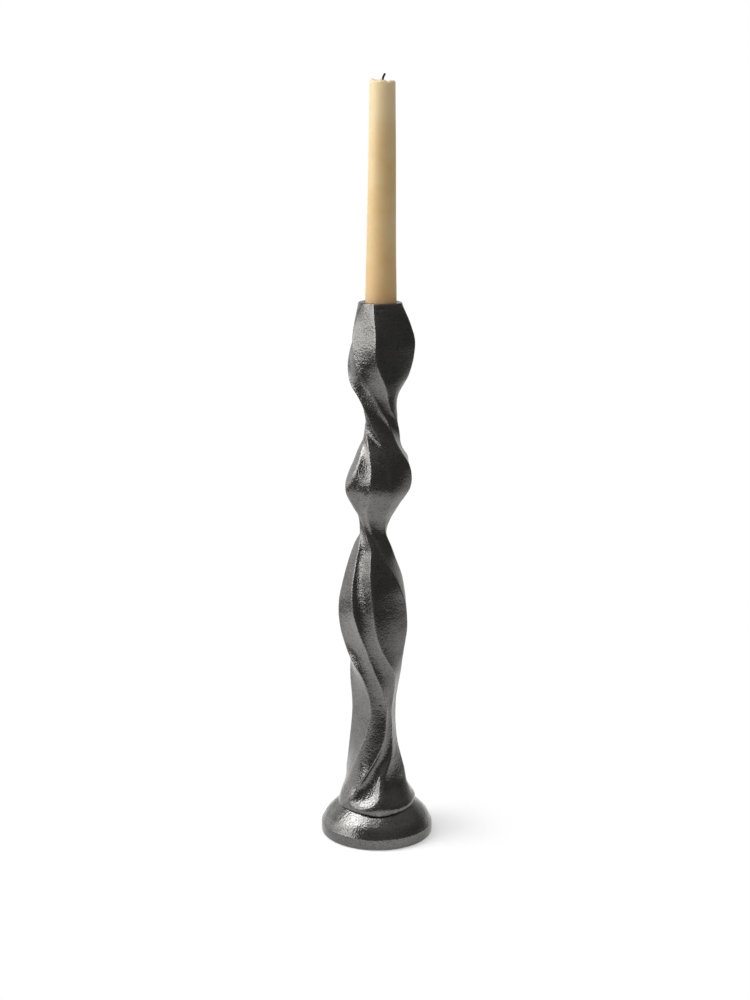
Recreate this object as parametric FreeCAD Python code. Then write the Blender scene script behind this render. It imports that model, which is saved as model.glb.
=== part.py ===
"""Spiral candle holder: a twisted cast stem bolted to a domed foot, with a taper candle.

Millimetres, +Z up. The origin is the centre of the resting face, the underside of the felt.
The front of the holder faces -Y. Bearings are degrees from the front (-Y) towards +X.

The stem has six folds that wind round each other. Each station across the stem gives the bearing
of every fold's crest; smooth curves through the stations carry the crests from hem to rim. The
facet between two crests is an arc whose middle is drawn in or pushed out.
"""
import FreeCAD, Part
import math
import os

# Holder
holder_height = 393.0
fold_reach = 24.7
rim_wall = 4.5

# Foot
foot_radius = 41.0
foot_height = 30.0
foot_band_height = 8.6
foot_edge_round = 0.8
foot_land_radius = 21.5
spigot_radius = 10.0
spigot_height = 5.0

# Seams and running clearances
seam_clearance = 0.3
spigot_clearance = 0.15
spigot_end_gap = 0.5
candle_clearance = 0.3
candle_seat_gap = 0.2
wick_clearance = 0.05
felt_clearance = 0.3
screw_hole_clearance = 0.5
thread_clearance = 0.05
thread_runout = 3.0
washer_bore_clearance = 0.3
counterbore_clearance = 0.5
head_gap = 0.6
cut_overrun = 2.0

# Cap screw and washer, M8
screw_radius = 4.0
screw_length = 40.0
screw_head_radius = 6.5
screw_head_height = 8.0
screw_edge_break = 0.6
hex_key_width = 6.0
hex_key_depth = 4.0
hexagon_sides = 6
washer_radius = 8.0
washer_thickness = 1.6

# Felt disc
felt_radius = 37.0
felt_thickness = 1.8
felt_proud = 0.5

# Socket and candle
socket_depth = 25.0
socket_lead_in = 0.6
candle_base_radius = 11.0
candle_top_radius = 8.7
candle_length = 175.0
candle_foot_bevel = 1.0
candle_shoulder_round = 1.2
candle_pool_depth = 2.0
candle_pool_margin = 1.6

# Wick
wick_radius = 0.8
wick_foot_gap = 4.0
wick_upright = 2.0
wick_bend_radius = 7.0
wick_tip_length = 1.5
wick_lean_angle = 28.0

# How many cross-sections carry the stem's surface
section_count = 84

# Stations across the stem. Height is a share of the way from hem to rim, the rest are the
# bearings of the six crests, in order round the stem, unwrapped so that each one runs on smoothly.
twist_shares = [
    (1.000, (-17, 65, 140, 185, 225, 280)),
    (0.944, (-9, 78, 147, 190, 232, 289)),
    (0.890, (-6, 90, 156, 205, 252, 304)),
    (0.849, (10, 101, 170, 228, 270, 325)),
    (0.817, (25, 116, 192, 255, 288, 345)),
    (0.798, (38, 130, 210, 275, 300, 360)),
    (0.780, (62, 150, 238, 294, 318, 380)),
    (0.758, (85, 200, 270, 299, 341, 397)),
    (0.737, (103, 236, 292, 316, 362, 406)),
    (0.715, (114, 247, 304, 330, 369, 414)),
    (0.692, (124, 249, 307, 340, 376, 424)),
    (0.674, (130, 250, 304, 344, 380, 432)),
    (0.650, (137, 252, 297, 345, 385, 442)),
    (0.629, (148, 255, 295, 343, 390, 447)),
    (0.602, (168, 260, 303, 336, 393, 452)),
    (0.583, (187, 267, 314, 341, 400, 458)),
    (0.567, (206, 280, 326, 354, 412, 467)),
    (0.548, (228, 300, 342, 370, 428, 478)),
    (0.530, (243, 308, 356, 382, 440, 487)),
    (0.508, (252, 307, 356, 395, 450, 497)),
    (0.481, (258, 310, 355, 407, 458, 508)),
    (0.449, (263, 314, 359, 419, 468, 520)),
    (0.419, (267, 320, 361, 432, 480, 532)),
    (0.387, (271, 329, 364, 440, 492, 545)),
    (0.355, (276, 337, 368, 446, 502, 565)),
    (0.328, (285, 345, 378, 450, 512, 586)),
    (0.306, (304, 352, 393, 453, 522, 604)),
    (0.282, (326, 363, 413, 457, 535, 617)),
    (0.253, (342, 379, 430, 462, 549, 626)),
    (0.226, (351, 391, 436, 466, 560, 630)),
    (0.202, (354, 397, 428, 468, 566, 632)),
    (0.175, (350, 393, 427, 469, 566, 631)),
    (0.151, (341, 386, 420, 465, 560, 629)),
    (0.129, (329, 375, 412, 460, 552, 626)),
    (0.108, (317, 361, 399, 455, 544, 623)),
    (0.078, (297, 342, 377, 448, 530, 617)),
    (0.056, (282, 330, 370, 443, 520, 609)),
    (0.038, (275, 322, 366, 439, 512, 602)),
    (0.000, (268, 292, 362, 433, 504, 594)),
]

# How far the folds reach from the spine: height share, then a share of the fold reach.
reach_shares = [
    (0.957, 0.80), (0.909, 0.925), (0.887, 0.915), (0.860, 0.83), (0.817, 0.545),
    (0.788, 0.485), (0.766, 0.495), (0.737, 0.565), (0.696, 0.79), (0.669, 0.915),
    (0.645, 0.91), (0.610, 0.665), (0.581, 0.455), (0.559, 0.415), (0.530, 0.54),
    (0.500, 0.70), (0.470, 0.84), (0.403, 1.0), (0.368, 0.975), (0.317, 0.82),
    (0.266, 0.73), (0.202, 0.63), (0.172, 0.65), (0.132, 0.71),
]

# The skirt flares with the foot: height share, then a share of the foot's radius.
skirt_shares = [(0.078, 0.52), (0.051, 0.60), (0.031, 0.695), (0.018, 0.735), (0.000, 0.74)]

# The spine leans sideways a little: height share, then sideways offset as a share of the reach.
spine_shares = [
    (1.000, 0.0), (0.885, 0.0), (0.800, 0.02), (0.750, 0.03), (0.670, 0.0), (0.610, -0.12),
    (0.560, -0.20), (0.480, -0.18), (0.400, -0.17), (0.317, -0.105), (0.200, -0.125),
    (0.130, -0.10), (0.078, -0.06), (0.024, -0.03), (0.000, 0.0),
]

# Each fold's own reach, as a share of the common reach.
pride_shares = [
    (1.00, (1.00, 1.00, 1.00, 1.00, 1.00, 1.00)),
    (0.98, (1.00, 1.08, 1.00, 1.00, 1.00, 0.99)),
    (0.94, (0.98, 1.13, 1.00, 1.00, 1.01, 0.98)),
    (0.90, (0.95, 1.03, 1.01, 1.00, 1.04, 0.94)),
    (0.86, (0.96, 0.97, 1.02, 1.00, 1.11, 0.94)),
    (0.83, (0.99, 0.93, 1.01, 1.00, 1.21, 0.96)),
    (0.80, (1.02, 0.92, 0.98, 1.00, 1.12, 0.98)),
    (0.75, (1.03, 1.00, 0.92, 1.00, 0.98, 1.03)),
    (0.72, (1.02, 1.04, 1.03, 0.97, 0.92, 1.15)),
    (0.70, (1.19, 1.02, 1.04, 0.95, 0.88, 1.17)),
    (0.67, (1.10, 1.03, 1.04, 0.92, 0.84, 1.05)),
    (0.64, (1.00, 1.07, 1.08, 0.94, 0.88, 1.03)),
    (0.61, (1.04, 0.97, 1.07, 0.98, 0.96, 1.03)),
    (0.58, (1.05, 0.90, 1.00, 1.00, 1.04, 1.10)),
    (0.54, (1.06, 0.91, 1.00, 1.00, 1.07, 1.03)),
    (0.50, (1.02, 0.87, 0.99, 1.00, 1.00, 0.98)),
    (0.47, (0.99, 0.88, 0.98, 1.06, 1.02, 0.97)),
    (0.42, (1.00, 0.91, 0.94, 1.02, 1.00, 0.95)),
    (0.32, (1.01, 0.98, 0.95, 1.05, 1.00, 0.96)),
    (0.26, (1.02, 0.98, 0.94, 1.07, 1.00, 0.98)),
    (0.20, (1.08, 1.00, 0.92, 1.10, 1.00, 1.00)),
    (0.13, (1.04, 1.06, 0.94, 0.99, 1.00, 1.03)),
    (0.08, (0.94, 1.08, 1.00, 1.00, 0.98, 1.01)),
    (0.03, (0.88, 1.00, 1.06, 0.91, 0.91, 0.91)),
    (0.015, (0.88, 0.99, 1.04, 0.94, 0.93, 0.91)),
    (0.00, (0.92, 0.97, 1.01, 0.85, 0.88, 0.90)),
]

# How far the middle of the facet after each fold is drawn in, as a share of the facet's width.
# Less than zero is pushed out.
hollow_shares = [
    (1.00, (-0.24, -0.22, -0.22, -0.22, -0.22, -0.22)),
    (0.96, (-0.14, -0.06, -0.06, -0.06, -0.04, -0.04)),
    (0.94, (-0.13, 0.00, 0.00, 0.00, 0.05, 0.00)),
    (0.88, (-0.10, 0.05, 0.05, 0.05, 0.16, 0.02)),
    (0.83, (-0.20, 0.08, 0.08, 0.06, 0.22, 0.08)),
    (0.79, (-0.36, 0.09, 0.08, 0.08, 0.18, 0.08)),
    (0.75, (-0.20, 0.00, 0.14, 0.12, 0.06, 0.06)),
    (0.70, (-0.10, -0.06, 0.15, -0.02, -0.03, 0.02)),
    (0.65, (-0.04, -0.04, 0.04, -0.02, -0.03, 0.02)),
    (0.62, (0.04, 0.02, 0.10, -0.01, -0.02, 0.02)),
    (0.58, (0.08, 0.10, 0.10, 0.00, 0.00, 0.02)),
    (0.48, (-0.02, 0.22, 0.00, -0.08, 0.08, 0.05)),
    (0.43, (0.00, 0.21, -0.04, -0.13, 0.07, 0.04)),
    (0.39, (0.02, 0.20, -0.07, -0.03, 0.06, 0.02)),
    (0.30, (0.03, 0.08, -0.02, 0.05, 0.04, 0.00)),
    (0.20, (0.05, 0.06, 0.02, 0.02, 0.02, 0.00)),
    (0.14, (-0.18, 0.08, -0.02, -0.02, -0.02, 0.00)),
    (0.09, (-0.18, 0.36, -0.06, -0.12, -0.12, -0.02)),
    (0.06, (-0.20, 0.34, -0.12, -0.22, -0.25, -0.04)),
    (0.035, (-0.20, 0.15, -0.25, -0.30, -0.34, -0.06)),
    (0.018, (-0.18, -0.18, -0.34, -0.34, -0.42, -0.10)),
    (0.00, (-0.12, -0.28, -0.35, -0.36, -0.45, -0.12)),
]

# Where along a facet its hollow lies: half is the middle, less is nearer the fold before it.
lean_shares = [
    (1.00, (0.5, 0.5, 0.5, 0.5, 0.5, 0.5)),
    (0.88, (0.5, 0.5, 0.5, 0.5, 0.7, 0.5)),
    (0.84, (0.5, 0.5, 0.5, 0.5, 0.85, 0.3)),
    (0.79, (0.5, 0.5, 0.5, 0.5, 0.85, 0.3)),
    (0.72, (0.5, 0.5, 0.86, 0.5, 0.5, 0.5)),
    (0.66, (0.5, 0.5, 0.84, 0.5, 0.5, 0.5)),
    (0.56, (0.5, 0.5, 0.5, 0.5, 0.5, 0.5)),
    (0.48, (0.5, 0.32, 0.5, 0.5, 0.5, 0.5)),
    (0.35, (0.5, 0.32, 0.5, 0.5, 0.5, 0.5)),
    (0.24, (0.5, 0.5, 0.5, 0.5, 0.5, 0.5)),
    (0.17, (0.5, 0.4, 0.5, 0.5, 0.5, 0.5)),
    (0.12, (0.5, 0.45, 0.5, 0.5, 0.5, 0.5)),
    (0.06, (0.5, 0.42, 0.5, 0.5, 0.5, 0.5)),
    (0.035, (0.5, 0.60, 0.5, 0.5, 0.5, 0.5)),
    (0.018, (0.5, 0.68, 0.5, 0.5, 0.5, 0.5)),
    (0.00, (0.5, 0.5, 0.5, 0.5, 0.5, 0.5)),
]

# The dome: share of the foot's radius, then share of the rise from the band to the land.
dome_shares = [(0.990, 0.0), (0.963, 0.11), (0.907, 0.30), (0.820, 0.486), (0.727, 0.65), (0.639, 0.813)]

# The stem's lowest station lies inside the dome, at this share of the foot's height.
hem_share = 0.70

# Levels and radii worked out from the sizes above
hem_height = hem_share * foot_height
foot_base = felt_proud
rim_radius = candle_base_radius + candle_clearance + rim_wall
socket_radius = candle_base_radius + candle_clearance
socket_floor = holder_height - socket_depth
candle_foot = socket_floor + candle_seat_gap
candle_top = candle_foot + candle_length
pool_floor = candle_top - candle_pool_depth
screw_head_base = felt_thickness + head_gap
screw_shoulder = screw_head_base + screw_head_height
counterbore_top = screw_shoulder + washer_thickness
screw_end = screw_shoulder + screw_length
spigot_top = foot_height + spigot_height


def smooth_curve(rows):
    """Return a smooth function through (height share, value) rows."""
    points = sorted(rows)
    last = len(points) - 1
    spans = [points[i + 1][0] - points[i][0] for i in range(last)]
    rises = [(points[i + 1][1] - points[i][1]) / spans[i] for i in range(last)]
    slopes = [rises[0]]
    for i in range(1, last):
        weighted = rises[i - 1] * spans[i] + rises[i] * spans[i - 1]
        slopes.append(weighted / (spans[i - 1] + spans[i]))
    slopes.append(rises[-1])

    def value(share):
        i = 0
        while i < last - 1 and share > points[i + 1][0]:
            i += 1
        t = (share - points[i][0]) / spans[i]
        near = (2 * t**3 - 3 * t**2 + 1) * points[i][1] + (3 * t**2 - 2 * t**3) * points[i + 1][1]
        bend = (t**3 - 2 * t**2 + t) * slopes[i] + (t**3 - t**2) * slopes[i + 1]
        return near + bend * spans[i]

    return value


def fold_curves(rows):
    """Return one smooth function per fold from rows of (height share, six values)."""
    fold_count = len(rows[0][1])
    return [smooth_curve([(share, values[i]) for share, values in rows]) for i in range(fold_count)]


rim_rows = [(1.0, rim_radius)]
fold_rows = [(share, reach * fold_reach) for share, reach in reach_shares]
skirt_rows = [(share, reach * foot_radius) for share, reach in skirt_shares]
reach_at = smooth_curve(rim_rows + fold_rows + skirt_rows)
spine_at = smooth_curve([(share, offset * fold_reach) for share, offset in spine_shares])
bearing_at = fold_curves(twist_shares)
pride_at = fold_curves(pride_shares)
hollow_at = fold_curves(hollow_shares)
lean_at = fold_curves(lean_shares)


def crest_point(fold, share):
    """Place of one fold's crest at a height share."""
    bearing = math.radians(bearing_at[fold](share))
    reach = reach_at(share) * pride_at[fold](share)
    height = hem_height + share * (holder_height - hem_height)
    return FreeCAD.Vector(spine_at(share) + reach * math.sin(bearing), -reach * math.cos(bearing), height)


def facet_middle(fold, share):
    """The point that draws in, or pushes out, the facet after one fold at a height share."""
    start = crest_point(fold, share)
    end = crest_point((fold + 1) % len(bearing_at), share)
    chord = end - start
    inward = FreeCAD.Vector(-chord.y, chord.x, 0)
    lean = lean_at[fold](share)
    return start * (1 - lean) + end * lean + inward * hollow_at[fold](share)


def long_curve(place, fold, shares):
    """Smooth curve from hem to rim through one fold's crests or facet middles."""
    curve = Part.BSplineCurve()
    curve.interpolate(Points=[place(fold, share) for share in shares], Parameters=shares)
    return curve


def end_face(crests, middles, end):
    """Flat face that closes the stem's form at its first or last section."""
    edges = []
    for fold, middle in enumerate(middles):
        arc_edge = Part.BezierCurve()
        next_crest = crests[(fold + 1) % len(crests)]
        arc_edge.setPoles([crests[fold].getPole(end(crests[fold])), middle.getPole(end(middle)),
                           next_crest.getPole(end(next_crest))])
        edges.append(arc_edge.toShape())
    return Part.Face(Part.Wire(edges))


def stem_form():
    """Solid of the twisted form: six facets between long curves, closed at hem and rim."""
    shares = [i / (section_count - 1) for i in range(section_count)]
    folds = range(len(bearing_at))
    crests = [long_curve(crest_point, fold, shares) for fold in folds]
    middles = [long_curve(facet_middle, fold, shares) for fold in folds]
    faces = [
        end_face(crests, middles, lambda curve: 1),
        end_face(crests, middles, lambda curve: curve.NbPoles),
    ]
    for fold in folds:
        rows = [curve.getPoles() for curve in (crests[fold], middles[fold], crests[(fold + 1) % len(crests)])]
        along = crests[fold]
        facet = Part.BSplineSurface()
        facet.buildFromPolesMultsKnots(rows, [3, 3], along.getMultiplicities(), [0, 1], along.getKnots(),
                                       False, False, 2, along.Degree)
        faces.append(facet.toShape())
    shell = Part.Shell(faces)
    shell.sewShape()
    form = Part.Solid(shell)
    if form.Volume < 0:
        form.reverse()
    return form


def cylinder(radius, bottom, top):
    """Upright cylinder on the origin's axis between two heights."""
    return Part.makeCylinder(radius, top - bottom, FreeCAD.Vector(0, 0, bottom))


def cone(low_radius, high_radius, bottom, top):
    """Upright cone on the origin's axis between two heights."""
    return Part.makeCone(low_radius, high_radius, top - bottom, FreeCAD.Vector(0, 0, bottom))


def turned(edges):
    """Solid of revolution about the origin's axis from the edges of a half profile."""
    profile = Part.Face(Part.Wire(edges))
    return profile.revolve(FreeCAD.Vector(), FreeCAD.Vector(0, 0, 1), 360)


def line(start, end):
    """Straight edge between two (radius, height) points of a half profile."""
    ends = [FreeCAD.Vector(radius, 0, height) for radius, height in (start, end)]
    return Part.LineSegment(*ends).toShape()


def arc(start, through, end):
    """Arc edge through three (radius, height) points of a half profile."""
    points = [FreeCAD.Vector(radius, 0, height) for radius, height in (start, through, end)]
    return Part.Arc(*points).toShape()


def spline(points):
    """Smooth edge through (radius, height) points of a half profile."""
    curve = Part.BSplineCurve()
    curve.interpolate([FreeCAD.Vector(radius, 0, height) for radius, height in points])
    return curve.toShape()


def dome_body(growth):
    """The foot's outer form, its band and its dome, with every radius grown alike."""
    rise = foot_height - foot_band_height
    dome = []
    for radius, height in dome_shares:
        dome.append((radius * foot_radius + growth, foot_band_height + height * rise))
    dome.append((foot_land_radius + growth, foot_height))
    edge = (foot_radius - foot_edge_round + growth, foot_base)
    waist = (foot_radius + growth, (foot_base + foot_band_height) / 2)
    return turned([
        line((0, foot_base), edge),
        arc(edge, waist, dome[0]),
        spline(dome),
        line(dome[-1], (0, foot_height)),
        line((0, foot_height), (0, foot_base)),
    ])


def make_twisted_stem():
    """Cast stem: the twisted form, seated on the dome, with the candle socket and the screw's thread."""
    stem = stem_form().cut(dome_body(seam_clearance))
    recess_radius = spigot_radius + spigot_clearance
    stem = stem.cut(cylinder(recess_radius, foot_height - cut_overrun, spigot_top + spigot_end_gap))
    stem = stem.cut(cylinder(screw_radius + thread_clearance, foot_height, screw_end + thread_runout))
    stem = stem.cut(cylinder(socket_radius, socket_floor, holder_height + cut_overrun))
    mouth = cone(socket_radius, socket_radius + socket_lead_in, holder_height - socket_lead_in, holder_height)
    return stem.cut(mouth)


def make_domed_foot():
    """Cast foot: dome and band, with a spigot on top and the screw's and the felt's seats below."""
    foot = dome_body(0).fuse(cylinder(spigot_radius, foot_height - cut_overrun, spigot_top))
    foot = foot.cut(cylinder(screw_radius + screw_hole_clearance, foot_base, spigot_top + cut_overrun))
    foot = foot.cut(cylinder(washer_radius + counterbore_clearance, foot_base, counterbore_top))
    return foot.cut(cylinder(felt_radius + felt_clearance, foot_base - cut_overrun, felt_thickness))


def make_foot_washer():
    """Plain washer that bears on the counterbore's ceiling."""
    bore_radius = screw_radius + washer_bore_clearance
    bore = cylinder(bore_radius, screw_shoulder - cut_overrun, counterbore_top + cut_overrun)
    return cylinder(washer_radius, screw_shoulder, counterbore_top).cut(bore)


def make_foot_screw():
    """Cap screw, head down, with a hexagon socket and a broken edge at both ends."""
    rounded_base = screw_head_base + screw_edge_break
    head = cylinder(screw_head_radius, rounded_base, screw_shoulder)
    edge = cone(screw_head_radius - screw_edge_break, screw_head_radius, screw_head_base, rounded_base)
    shank = cylinder(screw_radius, screw_shoulder, screw_end - screw_edge_break)
    point = cone(screw_radius, screw_radius - screw_edge_break, screw_end - screw_edge_break, screw_end)
    half_side_angle = math.pi / hexagon_sides
    corner_radius = hex_key_width / 2 / math.cos(half_side_angle)
    corners = []
    for corner in range(hexagon_sides + 1):
        angle = 2 * half_side_angle * corner
        across = corner_radius * math.cos(angle)
        along = corner_radius * math.sin(angle)
        corners.append(FreeCAD.Vector(across, along, screw_head_base))
    key_socket = Part.Face(Part.makePolygon(corners)).extrude(FreeCAD.Vector(0, 0, hex_key_depth))
    return head.fuse([edge, shank, point]).removeSplitter().cut(key_socket)


def make_felt_disc():
    """Felt disc that fills the foot's recess and stands proud of it."""
    return cylinder(felt_radius, 0, felt_thickness)


def make_taper_candle():
    """Taper candle: straight where it fills the socket, then tapered to a rounded, dished top."""
    shoulder_height = candle_top - candle_shoulder_round
    lip_radius = candle_top_radius - candle_shoulder_round
    half_round = candle_shoulder_round * math.sqrt(0.5)
    bulge = (lip_radius + half_round, shoulder_height + half_round)
    pool_radius = candle_top_radius - candle_pool_margin
    pool_side = (pool_radius * math.sqrt(0.5), pool_floor + candle_pool_depth / 4)
    foot_edge = (candle_base_radius - candle_foot_bevel, candle_foot)
    bevel_top = (candle_base_radius, candle_foot + candle_foot_bevel)
    edges = [
        line((0, candle_foot), foot_edge),
        line(foot_edge, bevel_top),
        line(bevel_top, (candle_base_radius, holder_height)),
        line((candle_base_radius, holder_height), (candle_top_radius, shoulder_height)),
        arc((candle_top_radius, shoulder_height), bulge, (lip_radius, candle_top)),
        line((lip_radius, candle_top), (pool_radius, candle_top)),
        arc((pool_radius, candle_top), pool_side, (0, pool_floor)),
        line((0, pool_floor), (0, candle_foot)),
    ]
    wick_bore = cylinder(wick_radius + wick_clearance, candle_foot + wick_foot_gap, candle_top)
    return turned(edges).cut(wick_bore)


def make_cotton_wick():
    """Wick: straight through the candle, then bent over towards +X above the wax."""
    start = FreeCAD.Vector(0, 0, candle_foot + wick_foot_gap)
    bend_start = FreeCAD.Vector(0, 0, pool_floor + wick_upright)
    lean = math.radians(wick_lean_angle)
    arc_points = []
    for angle in (lean / 2, lean):
        sideways = wick_bend_radius * (1 - math.cos(angle))
        arc_points.append(bend_start + FreeCAD.Vector(sideways, 0, wick_bend_radius * math.sin(angle)))
    middle, end = arc_points
    tip = end + FreeCAD.Vector(wick_tip_length * math.sin(lean), 0, wick_tip_length * math.cos(lean))
    path = Part.Wire([
        Part.LineSegment(start, bend_start).toShape(),
        Part.Arc(bend_start, middle, end).toShape(),
        Part.LineSegment(end, tip).toShape(),
    ])
    section = Part.Wire(Part.makeCircle(wick_radius, start))
    return path.makePipeShell([section], True, False)


parts = {
    "twisted_stem": make_twisted_stem,
    "domed_foot": make_domed_foot,
    "foot_washer": make_foot_washer,
    "foot_screw": make_foot_screw,
    "felt_disc": make_felt_disc,
    "taper_candle": make_taper_candle,
    "cotton_wick": make_cotton_wick,
}

os.makedirs("parts", exist_ok=True)
for name, make in parts.items():
    shape = make()
    box = shape.BoundBox
    print(name, "valid", shape.isValid(), "solids", len(shape.Solids), "volume", round(shape.Volume, 1),
          "x", round(box.XMin, 2), round(box.XMax, 2), "y", round(box.YMin, 2), round(box.YMax, 2),
          "z", round(box.ZMin, 2), round(box.ZMax, 2))
    shape.exportStep("parts/" + name + ".step")
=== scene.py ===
"""Looks of the spiral candle holder: a twisted, blackened casting on a domed foot, and its taper candle.

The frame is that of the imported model: metres, +Z up, the front faces -Y. The pieces' classes hold
their sizes in millimetres, as a drawing does, and a mesh is made in metres. The studio's sizes are in
metres. Bearings are degrees from the front (-Y) towards +X. A share of the stem's height runs from its
hem, 0, to its rim, 1.
"""

import logging
import math
from collections.abc import Callable, Sequence
from dataclasses import dataclass, field
from enum import Enum
from typing import Any

import bpy
import numpy as np
from mathutils import Matrix, Vector


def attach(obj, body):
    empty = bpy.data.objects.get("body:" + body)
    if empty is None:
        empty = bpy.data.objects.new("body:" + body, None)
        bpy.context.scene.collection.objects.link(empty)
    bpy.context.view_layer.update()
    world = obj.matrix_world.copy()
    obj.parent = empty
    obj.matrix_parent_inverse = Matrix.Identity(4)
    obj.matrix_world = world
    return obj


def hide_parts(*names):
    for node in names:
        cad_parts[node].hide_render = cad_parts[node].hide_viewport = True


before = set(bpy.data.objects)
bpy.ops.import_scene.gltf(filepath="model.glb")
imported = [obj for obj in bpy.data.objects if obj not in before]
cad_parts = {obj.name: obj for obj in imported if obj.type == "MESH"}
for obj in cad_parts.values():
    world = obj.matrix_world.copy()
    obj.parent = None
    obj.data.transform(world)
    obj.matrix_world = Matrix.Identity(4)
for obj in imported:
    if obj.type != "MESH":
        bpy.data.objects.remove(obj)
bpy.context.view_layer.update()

log = logging.getLogger("candle_holder")

MM = 0.001

# Places of a Mix node's sockets, because their names repeat: those for colours, then for numbers.
COLOUR_A = 6
COLOUR_B = 7
COLOUR_OUT = 2
NUMBER_A = 2
NUMBER_B = 3
NUMBER_OUT = 0

Rows = Sequence[tuple[float, float]]
FoldRows = Sequence[tuple[float, tuple[float, ...]]]
Rgba = tuple[float, float, float, float]


def linear(code: str) -> Rgba:
    """Turn an sRGB hex colour into the linear colour that a shader takes.

    Args:
        code: Six hex digits with a leading hash.

    Returns:
        Linear red, green and blue, and full alpha.
    """
    channels = [int(code[i:i + 2], 16) / 255 for i in (1, 3, 5)]
    red, green, blue = (c / 12.92 if c <= 0.04045 else ((c + 0.055) / 1.055) ** 2.4 for c in channels)
    return red, green, blue, 1.0


def per_mm(size_mm: float) -> float:
    """Pattern scale, in features per metre, of a feature this many millimetres wide."""
    return 1.0 / (size_mm * MM)


def add_node(
    tree: bpy.types.NodeTree,
    kind: str,
    settings: dict[str, Any] | None = None,
    inputs: dict[str | int, Any] | None = None,
) -> bpy.types.Node:
    """Add a node, set it up and link it.

    Args:
        tree: The tree that gets the node.
        kind: The node's type name.
        settings: Properties of the node itself.
        inputs: By socket name or place, a value, or another node's output to link from.

    Returns:
        The new node.
    """
    node = tree.nodes.new(kind)
    for key, value in (settings or {}).items():
        setattr(node, key, value)
    for key, value in (inputs or {}).items():
        if isinstance(value, bpy.types.NodeSocket):
            tree.links.new(value, node.inputs[key])
        else:
            node.inputs[key].default_value = value
    return node


class Track:
    """Smooth curve through (share, value) rows."""

    def __init__(self, rows: Rows) -> None:
        """Fit the slopes, each one weighted by the spans beside it.

        Args:
            rows: Share and value, in any order.
        """
        self.places, self.values = np.array(sorted(rows), float).T
        self.spans = np.diff(self.places)
        rises = np.diff(self.values) / self.spans
        weighted = rises[:-1] * self.spans[1:] + rises[1:] * self.spans[:-1]
        inner = weighted / (self.spans[:-1] + self.spans[1:])
        self.slopes = np.concatenate([rises[:1], inner, rises[-1:]])

    def __call__(self, share: np.ndarray) -> np.ndarray:
        """Values at some shares.

        Args:
            share: Where to read the curve, in any shape.

        Returns:
            The values, in the same shape.
        """
        i = np.clip(np.searchsorted(self.places, share) - 1, 0, len(self.spans) - 1)
        t = (share - self.places[i]) / self.spans[i]
        near = (2 * t**3 - 3 * t**2 + 1) * self.values[i] + (3 * t**2 - 2 * t**3) * self.values[i + 1]
        bend = (t**3 - 2 * t**2 + t) * self.slopes[i] + (t**3 - t**2) * self.slopes[i + 1]
        return near + bend * self.spans[i]


def fold_tracks(rows: FoldRows) -> list[Track]:
    """One track for each fold, from rows of (share, a value for every fold)."""
    return [Track([(share, values[i]) for share, values in rows]) for i in range(len(rows[0][1]))]


def blend_between(start: np.ndarray, pull: np.ndarray, end: np.ndarray, t: np.ndarray | float) -> np.ndarray:
    """Point at t on the bend that leaves start towards pull and arrives at end."""
    return (1 - t) ** 2 * start + 2 * t * (1 - t) * pull + t**2 * end


# Bearings of the six crests, in order round the stem, unwrapped so that each one runs on smoothly.
TWIST_SHARES: FoldRows = (
    (1.000, (-17, 65, 140, 185, 225, 280)),
    (0.944, (-9, 78, 147, 190, 232, 289)),
    (0.890, (-6, 90, 156, 205, 252, 304)),
    (0.849, (10, 101, 170, 228, 270, 325)),
    (0.817, (25, 116, 192, 255, 288, 345)),
    (0.798, (38, 130, 210, 275, 300, 360)),
    (0.780, (62, 150, 238, 294, 318, 380)),
    (0.758, (85, 200, 270, 299, 341, 397)),
    (0.737, (103, 236, 292, 316, 362, 406)),
    (0.715, (114, 247, 304, 330, 369, 414)),
    (0.692, (124, 249, 307, 340, 376, 424)),
    (0.674, (130, 250, 304, 344, 380, 432)),
    (0.650, (137, 252, 297, 345, 385, 442)),
    (0.629, (148, 255, 295, 343, 390, 447)),
    (0.602, (168, 260, 303, 336, 393, 452)),
    (0.583, (187, 267, 314, 341, 400, 458)),
    (0.567, (206, 280, 326, 354, 412, 467)),
    (0.548, (228, 300, 342, 370, 428, 478)),
    (0.530, (243, 308, 356, 382, 440, 487)),
    (0.508, (252, 307, 356, 395, 450, 497)),
    (0.481, (258, 310, 355, 407, 458, 508)),
    (0.449, (263, 314, 359, 419, 468, 520)),
    (0.419, (267, 320, 361, 432, 480, 532)),
    (0.387, (271, 329, 364, 440, 492, 545)),
    (0.355, (276, 337, 368, 446, 502, 565)),
    (0.328, (285, 345, 378, 450, 512, 586)),
    (0.306, (304, 352, 393, 453, 522, 604)),
    (0.282, (326, 363, 413, 457, 535, 617)),
    (0.253, (342, 379, 430, 462, 549, 626)),
    (0.226, (351, 391, 436, 466, 560, 630)),
    (0.202, (354, 397, 428, 468, 566, 632)),
    (0.175, (350, 393, 427, 469, 566, 631)),
    (0.151, (341, 386, 420, 465, 560, 629)),
    (0.129, (329, 375, 412, 460, 552, 626)),
    (0.108, (317, 361, 399, 455, 544, 623)),
    (0.078, (297, 342, 377, 448, 530, 617)),
    (0.056, (282, 330, 370, 443, 520, 609)),
    (0.038, (275, 322, 366, 439, 512, 602)),
    (0.000, (268, 292, 362, 433, 504, 594)),
)

# How far the folds reach from the spine: height share, then a share of the fold reach.
REACH_SHARES: Rows = (
    (0.957, 0.80), (0.909, 0.925), (0.887, 0.915), (0.860, 0.83), (0.817, 0.545),
    (0.788, 0.485), (0.766, 0.495), (0.737, 0.565), (0.696, 0.79), (0.669, 0.915),
    (0.645, 0.91), (0.610, 0.665), (0.581, 0.455), (0.559, 0.415), (0.530, 0.54),
    (0.500, 0.70), (0.470, 0.84), (0.403, 1.0), (0.368, 0.975), (0.317, 0.82),
    (0.266, 0.73), (0.202, 0.63), (0.172, 0.65), (0.132, 0.71),
)

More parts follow.
